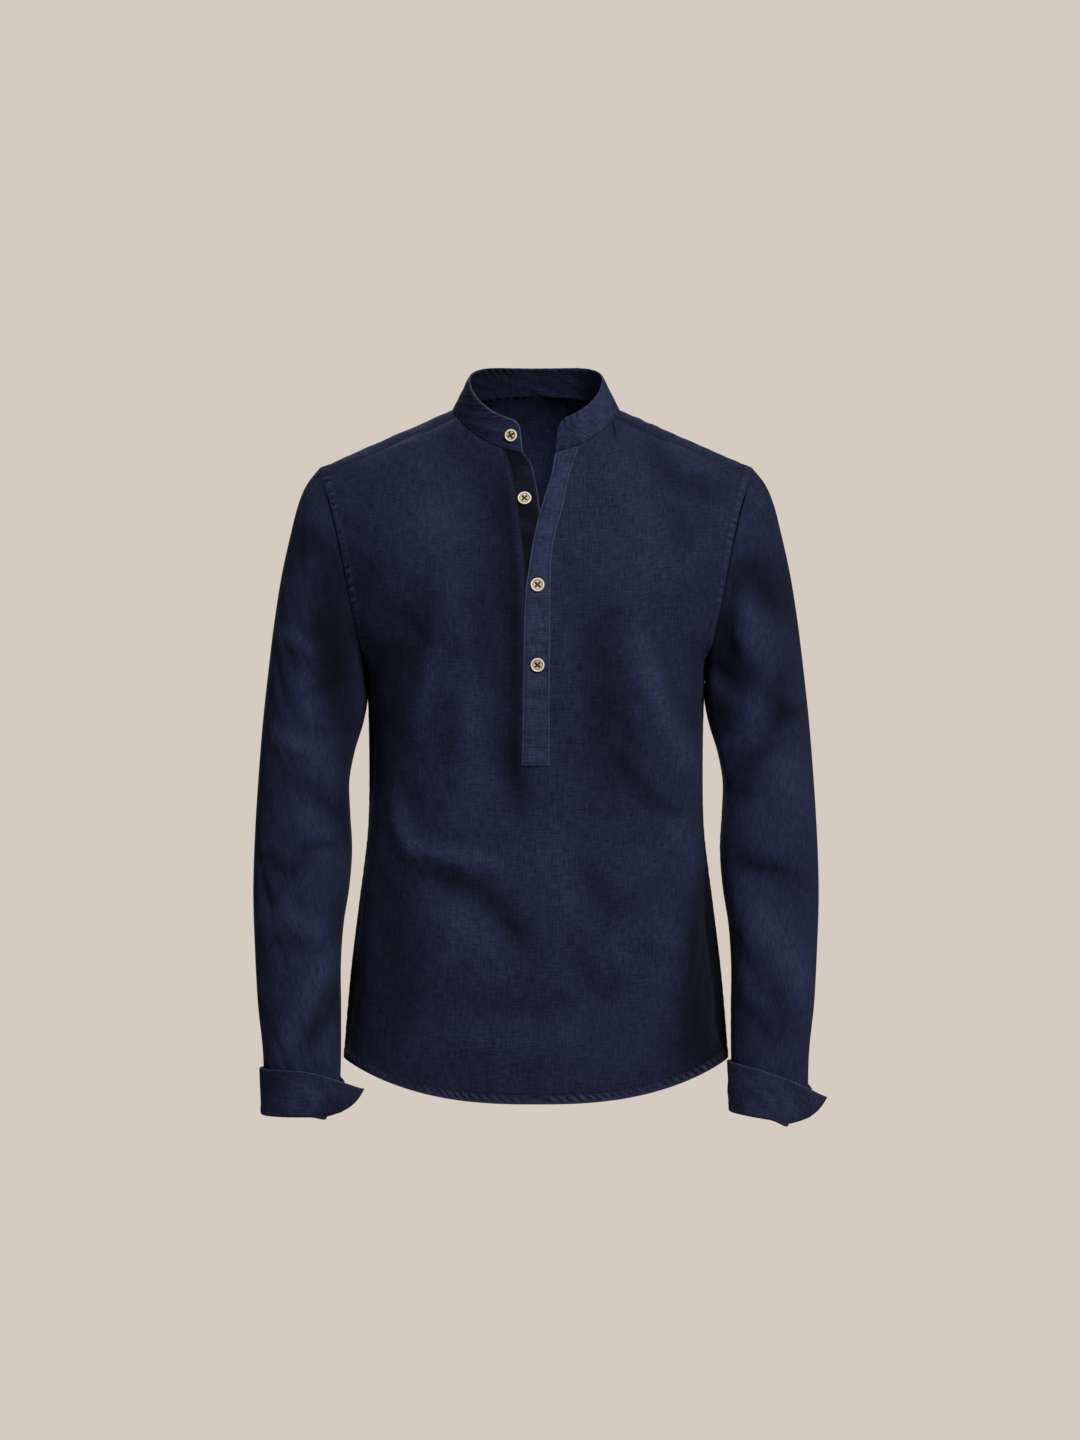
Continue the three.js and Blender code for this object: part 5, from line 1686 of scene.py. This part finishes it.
@dataclass(frozen=True)
class SleeveForm:
    """One worn sleeve: tilted rings from the armhole to the cuff's fold."""

    body: BodyForm
    side: Side
    folds: tuple[Fold, ...]
    end_tilt_out: float
    end_tilt_in: float
    end_lift: EndLift
    start_gap: float = 0.1
    armpit_extra: float = 0.5
    start_blend: float = 0.25
    mm_per_degree: float = 0.95
    length_per_w: float = 857.0

    def ring(self, w: Array) -> tuple[Array, Array, Array]:
        """A ring's middle, half its long axis, and half its depth, on the +X side."""
        tilt = smooth((w - 0.86) / 0.14)
        columns = {name: Profile.through(SLEEVE, "w", name)(w) for name in SleeveRow._fields[1:]}
        outer = place(columns["out_x"], 0, columns["out_z"] + tilt * self.end_tilt_out)
        inner = place(columns["in_x"], 0, columns["in_z"] + tilt * self.end_tilt_in)
        middle = (outer + inner) / 2
        middle[..., 1] = columns["y"]
        return middle, (outer - inner) / 2, columns["half_depth"]

    def on_ring(self, w: Array, phi: Array) -> Array:
        """A place on a ring: its long axis by the cosine of phi, its depth by the sine."""
        middle, long, half_depth = self.ring(w)
        across = np.cos(np.radians(phi))[..., None] * long
        depth = half_depth * np.sin(np.radians(phi))
        return middle + across - place(0, depth, 0)

    def point(self, w: Array, phi: Array, out: Array = np.array(0.0)) -> Array:
        """A place on the sleeve: a ring's place, eased onto the armhole seam, with folds.

        Args:
            w: 0 at the armhole to 1 at the cuff's fold.
            phi: Degrees round it, 0 outside, 90 in front and 180 inside.
            out: Distance out of the cloth.

        Returns:
            Places on this side's sleeve.
        """
        w, phi = np.broadcast_arrays(np.asarray(w, float), np.asarray(phi, float))
        cosine = np.cos(np.radians(phi))
        sine = np.sin(np.radians(phi))
        _, long, half_depth = self.ring(w)
        turn = np.mod(phi - self.end_lift.phi + 180, 360) - 180
        lift = self.end_lift.height * smooth((w - 0.86) / 0.14) * bell(turn, self.end_lift.reach)
        point = self.on_ring(w, phi) + place(0, 0, lift)
        hole_x, hole_z, hole_face = self.body.armhole(phi)
        seam = self.body.point(hole_x, hole_z, hole_face)
        miss = seam - self.on_ring(np.zeros_like(w), phi)
        point += miss * (1 - smooth(w / self.start_blend))[..., None]
        lead = (self.start_gap + self.armpit_extra * ((1 - cosine) / 2) ** 6) * (1 - smooth(w / 0.04))
        point += lead[..., None] * np.array([0.974, 0.0, -0.228])
        length = np.sum(long**2, axis=-1)
        outwards = unit(long * (cosine / length)[..., None] + place(0, -sine / half_depth, 0))
        room = smooth((w - 0.03) / 0.12) * smooth((0.93 - w) / 0.06)
        folds = [fold._replace(x0=fold.x0 * 0.95, x1=fold.x1 * 0.95) for fold in self.folds]
        height = room * fold_height(folds, np.mod(phi, 360) * self.mm_per_degree, point[..., 2])
        point += outwards * (height + out)[..., None]
        return point * np.array([self.side.value, 1.0, 1.0])


@dataclass
class Sleeve:
    """A sleeve and its turned-back cuff."""

    form: SleeveForm
    thread: Thread
    creases: tuple[Crease, ...]
    cuff_end: float
    cuff_turn: float
    flare: Flare
    height_tilt: float
    wall: float = 1.1
    cuff_wall: float = 1.9
    cuff_span: float = 350.0
    cuff_height: float = 44.5
    flare_from: float = 0.88
    under_loss: float = 0.34
    under_to: float = 0.12
    edge_stitch: float = 5.5

    @property
    def word(self) -> str:
        """left or right."""
        return self.form.side.name.lower()

    def cuff_point(self, share: Array, out: Array, up: Array) -> Array:
        """A place on the cuff: off the sleeve's wall, flaring out near its free end.

        Args:
            share: 0 to 1 round the cuff, ending at the flared corner.
            out: Distance out of the sleeve's wall.
            up: Height above the fold; below zero it is past the sleeve's end.

        Returns:
            Places on the cuff.
        """
        phi = self.cuff_end + self.cuff_turn * self.cuff_span * (1 - share)
        above = np.maximum(up, 0.0)
        kept = 1 - self.under_loss * (1 - smooth((share - self.under_to) / 0.2))
        rise = above * kept * (1 + self.height_tilt * np.cos(np.radians(phi)))
        point = self.form.point(1 - rise / self.form.length_per_w, phi, out)
        _, long, _ = self.form.ring(np.array(1.0))
        axis = unit(np.array([-long[2] * self.form.side.value, 0.0, long[0]]))
        growth = smooth((share - self.flare_from) / (1 - self.flare_from))
        height = above / self.cuff_height
        sideways = self.flare.away * (height + np.sin(math.pi / 2 * height)) / 2
        fall = self.flare.fall * np.sin(math.pi / 2 * np.minimum(height / 0.8, 1.0))
        sag = fall + self.flare.drop * growth**2
        bend = place(sideways, -self.flare.front * height, -sag) * growth[..., None]
        return point + np.minimum(up, 0.0)[..., None] * axis + bend

    def build(self, finishes: Finishes) -> None:
        self.build_sleeve(finishes)
        self.build_cuff(finishes)

    def build_sleeve(self, finishes: Finishes) -> None:
        """The sleeve as a tube, puckered at the armhole, with its underarm seam."""
        rows = runs((0.0, 0.03, 12), (0.03, 1.0, 210))[:, None]
        turn = np.linspace(0, 360, 125)[:-1]
        phi = turn if self.form.side is Side.LEFT else turn[::-1]
        grid = ClothGrid(self.form.point(rows, phi[None, :]), tube=True)
        across = grid.across()
        up = grid.up()
        seed = 100 if self.form.side is Side.LEFT else 140
        closed = across[:, -1:] + np.linalg.norm(grid.points[:, 0] - grid.points[:, -1], axis=-1)[:, None]
        turned = 2 * math.pi * across / closed
        relief = 0.45 * rumple(52 * np.cos(turned), up + 52 * np.sin(turned), 44.0, seed)
        relief += 0.12 * rumple(40 * np.cos(turned), up + 40 * np.sin(turned), 18.0, seed + 1)
        x = np.abs(grid.points[..., 0])
        facing = -grid.normals()[..., 1]
        soft_front, painted_shading_front = creased(self.creases, x, grid.points[..., 2])
        soft_back, painted_shading_back = creased(SLEEVE_BACK_CREASES, x, grid.points[..., 2])
        in_front = smooth(0.5 + 1.6 * facing)
        relief = (relief + blend(soft_back, soft_front, in_front)) * smooth(np.abs(facing) / 0.55)
        # Painted shading of the creases, and painted shade where the sleeve turns side-on.
        grid.dye = blend(painted_shading_back, painted_shading_front, in_front) - 0.35 * bell(facing, 0.3)
        relief *= smooth(up / 14) * smooth((up[-1:] - up - 6) / 20)
        gather = bell(up, 7.0, 5) * ripple(across, 11.0, seed + 2)
        relief += 0.4 * smooth(up / 3) * gather
        seam = np.abs(across - across[:, int(len(phi) * 0.53), None])
        relief += 0.3 * bell(seam, 5) * ripple(up, 13.0, seed + 3)
        relief -= 0.3 * bell(seam, 0.9)
        grid.thickness = np.full(relief.shape, self.wall)
        grid.wear = 0.12 * bell(seam, 1.8)
        # Painted shade at the armhole seam.
        grid.dye -= 0.5 * bell(up, 1.6)
        grid.raise_by(relief)
        name = f"sleeve_{self.word}"
        cloth_piece(grid, f"{name}_cloth", name, finishes)

    def build_cuff(self, finishes: Finishes) -> None:
        """The cuff round its fold and up the sleeve, with its edge stitching."""
        section = np.array(CUFF_SECTION)
        steps = np.linalg.norm(np.diff(section, axis=0), axis=1)
        run = np.concatenate([[0.0], np.cumsum(steps)])
        bend = float(run[4])
        end = float(run[-1])
        at = runs((0.0, bend, 9), (bend, end - 8, 18), (end - 8, end - 1, 6), (end - 1, end, 3))
        out = Profile(tuple(run), tuple(section[:, 0]))(at)[:, None]
        up = Profile(tuple(run), tuple(section[:, 1]))(at)[:, None]
        shares = runs((0.0, 0.02, 4), (0.02, 0.86, 96), (0.86, 0.98, 30), (0.98, 1.0, 6))[None, :]
        grid = ClothGrid(self.cuff_point(*np.broadcast_arrays(shares, out, up)))
        across = grid.across()
        height = grid.up()
        top = height[-1:] - height
        ends = np.minimum(across, across[:, -1:] - across)
        edge = np.minimum(top, ends)
        seed = 180 if self.form.side is Side.LEFT else 190
        relief = 0.4 * rumple(across, height, 30.0, seed) * smooth((height - 8) / 8) * smooth((edge - 1) / 8)
        relief -= 0.28 * bell(edge, 0.9, self.edge_stitch) * smooth((height - 8) / 4)
        relief += 0.22 * bell(top, 8) * ripple(across, 12.0, seed + 1)
        grid.thickness = self.cuff_wall - 0.5 * smooth((1.5 - edge) / 1.5)
        grid.wear = 0.42 * bell(edge, 0.35) + 0.06 * bell(height, 3, 4)
        # Painted light over the whole of the wearer's left cuff, uneven dye, and painted shade in the stitch
        # groove.
        lit = 0.45 if self.form.side is Side.LEFT else 0.0
        grid.dye = lit + 0.3 * rumple(across, height, 34.0, seed + 2)
        grid.dye -= 0.35 * bell(edge, 1.0, self.edge_stitch)
        grid.raise_by(relief)
        sewn = [
            self.thread.beside(grid, "top", self.edge_stitch, slice(4, -6)),
            self.thread.beside(grid, "first", self.edge_stitch, slice(10, -5)),
            self.thread.beside(grid, "last", self.edge_stitch, slice(10, -5)),
        ]
        name = f"cuff_{self.word}"
        cloth_piece(grid, f"{name}_cloth", name, finishes)
        stitching(sewn, f"{name}_stitching", finishes.thread)


@dataclass(frozen=True)
class Seat:
    """A place on the cloth for a button or a buttonhole, with its directions."""

    origin: Array
    across: Array
    up: Array
    out: Array

    @classmethod
    def on(cls, place_at: Callable[[float, float], Array], lift: float) -> "Seat":
        """A seat from a surface.

        Args:
            place_at: Gives the place at small steps across and up from the seat.
            lift: How far the cloth's face stands out of that surface.

        Returns:
            The seat on the cloth's face.
        """
        here = place_at(0.0, 0.0)
        across = unit(place_at(1.0, 0.0) - here)
        out = unit(np.cross(across, place_at(0.0, 1.0) - here))
        return cls(here + out * lift, across, np.cross(out, across), out)

    def placed(self, local: Array) -> Array:
        """Local places (across, up, out) on the seat."""
        return self.origin + local @ np.stack([self.across, self.up, self.out])


@dataclass
class Buttons:
    """Four-hole buttons and the worked buttonholes."""

    body: BodyForm
    collar: CollarBand
    thickness: float = 2.8
    lift: float = 0.3
    hole_radius: float = 0.95
    hole_spacing: float = 2.0
    hole_length: float = 16.0

    def body_seat(self, x: float, z: float, lift: float) -> Seat:
        """A seat on a placket."""
        def at(across: float, up: float) -> Array:
            return self.body.point(np.array(x + across), np.array(z + up), np.array(FRONT))

        return Seat.on(at, lift)

    def collar_seat(self, share: float, up: float) -> Seat:
        """A seat on the collar band, which runs towards its end."""
        def at(across: float, rise: float) -> Array:
            return self.collar.point(np.array(share + across * 0.0024), np.array(up + rise * 0.03))

        return Seat.on(at, self.collar.wall / 2)

    def button(self, name: str, radius: float, seat: Seat, finishes: Finishes) -> None:
        """A button: a turned profile on a polar grid, pressed in at four holes, and its thread.

        Args:
            name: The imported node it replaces.
            radius: Its outer radius.
            seat: Where it sits.
            finishes: The materials.
        """
        top = self.thickness
        rings = np.linspace(0.02, radius - 2.0, 26)
        face = np.full_like(rings, top - 0.6) - 0.12 * np.cos(math.pi * rings / (radius - 2.0))
        rim = np.array(BUTTON_RIM) + (radius, top)
        radii = np.concatenate([rings, rim[:, 0], [0.02]])[:, None]
        heights = np.concatenate([face, rim[:, 1], [0.0]])[:, None]
        turn = np.linspace(0, 2 * math.pi, 81)[None, :-1]
        x = radii * np.cos(turn)
        y = radii * np.sin(turn)
        h = np.broadcast_to(heights, x.shape).copy()
        near = np.hypot(np.abs(x) - self.hole_spacing, np.abs(y) - self.hole_spacing)
        facing = np.arange(len(radii))[:, None] < len(rings)
        h -= np.where(facing, 1.5 * smooth((self.hole_radius + 0.25 - near) / 0.4), 0.0)
        vertices = seat.placed(place(x, y, h + self.lift).reshape(-1, 3))
        number = np.arange(x.size).reshape(x.shape)
        beside = np.roll(number, -1, axis=1)
        quads = np.stack([number[:-1], number[1:], beside[1:], beside[:-1]], axis=-1).reshape(-1, 4)
        poles = seat.placed(np.array([[0, 0, float(h[0, 0]) + self.lift], [0, 0, self.lift]]))
        first = np.stack([beside[0], np.full(80, x.size), number[0], number[0]], axis=-1)
        last = np.stack([number[-1], np.full(80, x.size + 1), beside[-1], beside[-1]], axis=-1)
        # The mark rim: paler on the rim's top, painted shade in the recess where the rim meets the face and
        # down the outer edge.
        ring = smooth((radii - radius + 1.9) / 0.5) - 1.3 * bell(radii - radius + 2.1, 0.35)
        ring -= 1.2 * smooth((radii - radius + 0.45) / 0.4)
        ring = np.concatenate([np.broadcast_to(ring, x.shape).ravel(), [0.0, 0.0]])
        faces = np.concatenate([quads, first, last])
        mesh = MeshData(np.concatenate([vertices, poles]), faces, None, {"rim": ring})
        dress(make_object(f"{name}_disc", mesh, finishes.button), "button", name)
        cross = []
        for slope in (1.0, -1.0):
            reach = np.linspace(-1.2, 1.2, 9)[:, None] * self.hole_spacing
            sag = 0.42 * np.cos(reach / self.hole_spacing * math.pi / 2.3) - 0.1 + 0.12 * (slope < 0)
            line = np.concatenate([reach, slope * reach, top - 0.75 + self.lift + sag], axis=1)
            cross.append(tube(seat.placed(line), 1.6))
        stitching(cross, f"{name}_thread", finishes.button_thread)

    def buttonhole(self, name: str, seat: Seat, tilt: float, finishes: Finishes) -> None:
        """A worked buttonhole: a long bead of close stitches in a ring.

        Args:
            name: The piece's name.
            seat: Where it lies.
            tilt: Its turn from upright, in degrees.
            finishes: The materials.
        """
        turn = np.linspace(0, 2 * math.pi, 241)
        half = self.hole_length / 2 - 1.0
        wave = 0.09 * np.sin(turn * 60)
        x = (0.95 + wave) * np.cos(turn)
        y = np.sign(np.sin(turn)) * half * np.minimum(np.abs(np.sin(turn)) * 1.6, 1.0) + 0.7 * np.sin(turn)
        cosine = math.cos(math.radians(tilt))
        sine = math.sin(math.radians(tilt))
        line = place(x * cosine - y * sine, x * sine + y * cosine, 0.12)
        bead = tube(seat.placed(line), 0.55 + 0.12 * np.sin(turn * 60))
        stitching([bead], name, finishes.thread)

    def build(self, finishes: Finishes) -> None:
        top_lift = 0.8 + 0.95
        under_lift = -1.3 * float(smooth(np.array((-95.9 + 80) / -30))) + 0.75
        seats = (
            ("button_1", 6.5, self.collar_seat(0.978, 0.485)),
            ("button_2", 7.1, self.body_seat(-11.7, -95.9, under_lift)),
            ("button_3", 7.1, self.body_seat(1.6, -185.2, top_lift)),
            ("button_4", 7.1, self.body_seat(1.6, -266.2, top_lift)),
        )
        for name, radius, seat in seats:
            self.button(name, radius, seat, finishes)
        holes = (
            ("buttonhole_placket", self.body_seat(19.8, -92.6, top_lift), -14.0),
            ("buttonhole_middle", self.body_seat(1.6, -184.2, top_lift), 0.0),
            ("buttonhole_low", self.body_seat(1.6, -265.2, top_lift), 0.0),
            ("buttonhole_collar", self.collar_seat(0.034, 0.5), 90.0),
        )
        for name, seat, tilt in holes:
            self.buttonhole(name, seat, tilt, finishes)


def tube(path: Array, width: float | Array, around: int = 8) -> MeshData:
    """A closed round tube along a line: circles square to the line, with a cap on each end.

    Args:
        path: Places along the line.
        width: The tube's width, for all of it or for each place.
        around: How many sides it has.

    Returns:
        The tube's mesh.
    """
    along = unit(np.gradient(path, axis=0))
    guide = np.where(np.abs(along[:, 1:2]) < 0.9, np.array([[0.0, 1.0, 0.0]]), np.array([[1.0, 0.0, 0.0]]))
    beside = unit(np.cross(along, guide))
    up = np.cross(beside, along)
    turn = np.linspace(0, 2 * math.pi, around + 1)[:-1]
    half = np.broadcast_to(np.asarray(width) / 2, (len(path),))[:, None, None]
    circle = np.cos(turn)[None, :, None] * beside[:, None] + np.sin(turn)[None, :, None] * up[:, None]
    vertices = (path[:, None] + circle * half).reshape(-1, 3)
    number = np.arange(len(path) * around).reshape(len(path), around)
    beyond = np.roll(number, -1, axis=1)
    quads = np.stack([number[:-1], beyond[:-1], beyond[1:], number[1:]], axis=-1).reshape(-1, 4)
    ends = len(path) * around + np.arange(2)
    first = np.stack([beyond[0], number[0], np.full(around, ends[0]), np.full(around, ends[0])], axis=-1)
    last = np.stack([number[-1], beyond[-1], np.full(around, ends[1]), np.full(around, ends[1])], axis=-1)
    vertices = np.concatenate([vertices, path[:1], path[-1:]])
    return MeshData(vertices, np.concatenate([quads, first, last]))


@dataclass(frozen=True)
class Studio:
    """Pale floor, soft light and the photograph's camera."""

    distance: float = 6.0
    centre_x: float = 0.00416
    centre_z: float = -0.3224
    frame_height: float = 1.4976
    floor_z: float = -1.5
    floor_radius: float = 3.0

    def camera(self) -> None:
        """A level camera whose long side takes in the frame's height at the garment."""
        data = bpy.data.cameras.new("camera")
        data.sensor_width = 36.0
        data.lens = 36.0 * self.distance / self.frame_height
        item = bpy.data.objects.new("camera", data)
        item.location = (self.centre_x, -self.distance, self.centre_z)
        item.rotation_euler = (math.pi / 2, 0.0, 0.0)
        bpy.context.scene.collection.objects.link(item)
        bpy.context.scene.camera = item

    def light(self, name: str, at: tuple[float, float, float], size: float, power: float) -> None:
        """A square soft light that looks at the garment's middle.

        Args:
            name: The light's name.
            at: Its place.
            size: Its side.
            power: Its power in watts.
        """
        data = bpy.data.lights.new(name, "AREA")
        data.size = size
        data.energy = power
        item = bpy.data.objects.new(name, data)
        item.location = at
        aim = np.array([0.0, 0.0, -0.3]) - np.array(at)
        flat = math.hypot(aim[0], aim[1])
        item.rotation_euler = (math.pi / 2 + math.atan2(aim[2], flat), 0.0, math.atan2(-aim[0], aim[1]))
        bpy.context.scene.collection.objects.link(item)

    def world(self) -> None:
        """A plain warm backdrop to the camera, and a weak even light to everything else."""
        world = bpy.data.worlds.new("studio")
        world.use_nodes = True
        world.node_tree.nodes.clear()
        nodes = Nodes(world.node_tree)
        seen = nodes.add("ShaderNodeBackground", {"Color": GROUND, "Strength": 1.0})
        fill = nodes.add("ShaderNodeBackground", {"Color": (0.93, 0.95, 1.0, 1.0), "Strength": 0.045})
        ray = nodes.add("ShaderNodeLightPath", {}).outputs["Is Camera Ray"]
        both = nodes.add("ShaderNodeMixShader", {0: ray, 1: fill.outputs[0], 2: seen.outputs[0]})
        nodes.add("ShaderNodeOutputWorld", {"Surface": both.outputs[0]})
        bpy.context.scene.world = world

    def floor(self) -> None:
        """A pale round floor well below the garment, closed as a thin disc."""
        turn = np.linspace(0, 2 * math.pi, 97)[:-1]
        edge = place(np.cos(turn), np.sin(turn), 0) * self.floor_radius / MM
        top = edge + np.array([0, 0, self.floor_z / MM])
        low = top - np.array([0, 0, 20.0])
        centres = np.array([[0, 0, self.floor_z / MM], [0, 0, self.floor_z / MM - 20.0]])
        number = np.arange(96)
        beyond = np.roll(number, -1)
        upper = np.stack([number, beyond, np.full(96, 192), np.full(96, 192)], axis=-1)
        lower = np.stack([beyond + 96, number + 96, np.full(96, 193), np.full(96, 193)], axis=-1)
        sides = np.stack([number + 96, beyond + 96, beyond, number], axis=-1)
        mesh = MeshData(np.concatenate([top, low, centres]), np.concatenate([upper, lower, sides]))
        material = bpy.data.materials.new("pale_floor")
        material.use_nodes = True
        shader = material.node_tree.nodes["Principled BSDF"]
        shader.inputs["Base Color"].default_value = GROUND
        shader.inputs["Roughness"].default_value = 0.9
        make_object("floor", mesh, material)

    def build(self) -> None:
        """Camera, lights, world and floor."""
        self.camera()
        self.world()
        self.floor()
        self.light("key", (1.40, -3.35, 2.55), 1.0, 166.0)
        self.light("fill", (-3.0, -3.2, 0.6), 2.4, 8.0)
        self.light("back", (-0.5, 3.6, 1.8), 2.4, 90.0)
        bpy.context.scene.view_settings.view_transform = "Standard"


def main() -> None:
    """Builds the garment piece by piece, then the studio."""
    logging.basicConfig(level=logging.INFO, format="%(message)s")
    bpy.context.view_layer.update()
    finishes = Finishes.make()
    body = BodyForm()
    seams = Seams()
    thread = Thread()
    collar = CollarBand(body, thread)
    BodyPanels(body, seams, thread).build(finishes)
    collar.build(finishes)
    Placket(
        body, thread, "placket_top",
        left_edge=TOP_PLACKET_EDGE, right_edge=lambda z: OPENING_EDGE[Side.LEFT](z) - 0.25,
        offset=lambda z: np.full(np.shape(z), 0.8),
        # fade lightens the top placket: painted light on its bulge.
        wall=1.9, flat=(0.03, 0.34), area=0.0083, bulge=0.6, fade=1.0, free_edge="first",
    ).build(finishes)
    Placket(
        body, thread, "placket_under",
        left_edge=lambda z: OPENING_EDGE[Side.RIGHT](z) + 0.25, right_edge=UNDER_PLACKET_EDGE,
        offset=lambda z: -1.3 * smooth((z + 80) / -30),
        # fade darkens the under placket: painted shadow beneath the top placket.
        wall=1.5, flat=(0.028, 0.34), area=0.0083, bulge=0.2, fade=-1.3, free_edge="last",
    ).build(finishes)
    left = SleeveForm(
        body, Side.LEFT, LEFT_SLEEVE_FOLDS, end_tilt_out=-6.8, end_tilt_in=4.8, end_lift=EndLift(10, 40, 6)
    )
    right = SleeveForm(
        body, Side.RIGHT, RIGHT_SLEEVE_FOLDS, end_tilt_out=1.8, end_tilt_in=1.8,
        end_lift=EndLift(170, 40, 2.5),
    )
    Sleeve(
        left, thread, LEFT_SLEEVE_CREASES,
        cuff_end=66.0, cuff_turn=1.0, flare=Flare(38.5, 8, 15.1, 5.2), height_tilt=-0.17,
    ).build(finishes)
    Sleeve(
        right, thread, RIGHT_SLEEVE_CREASES,
        cuff_end=129.0, cuff_turn=-1.0, flare=Flare(37.8, 8, 14.7, 3.7), height_tilt=0.0,
    ).build(finishes)
    Buttons(body, collar).build(finishes)
    Studio().build()


if __name__ == "__main__":
    main()
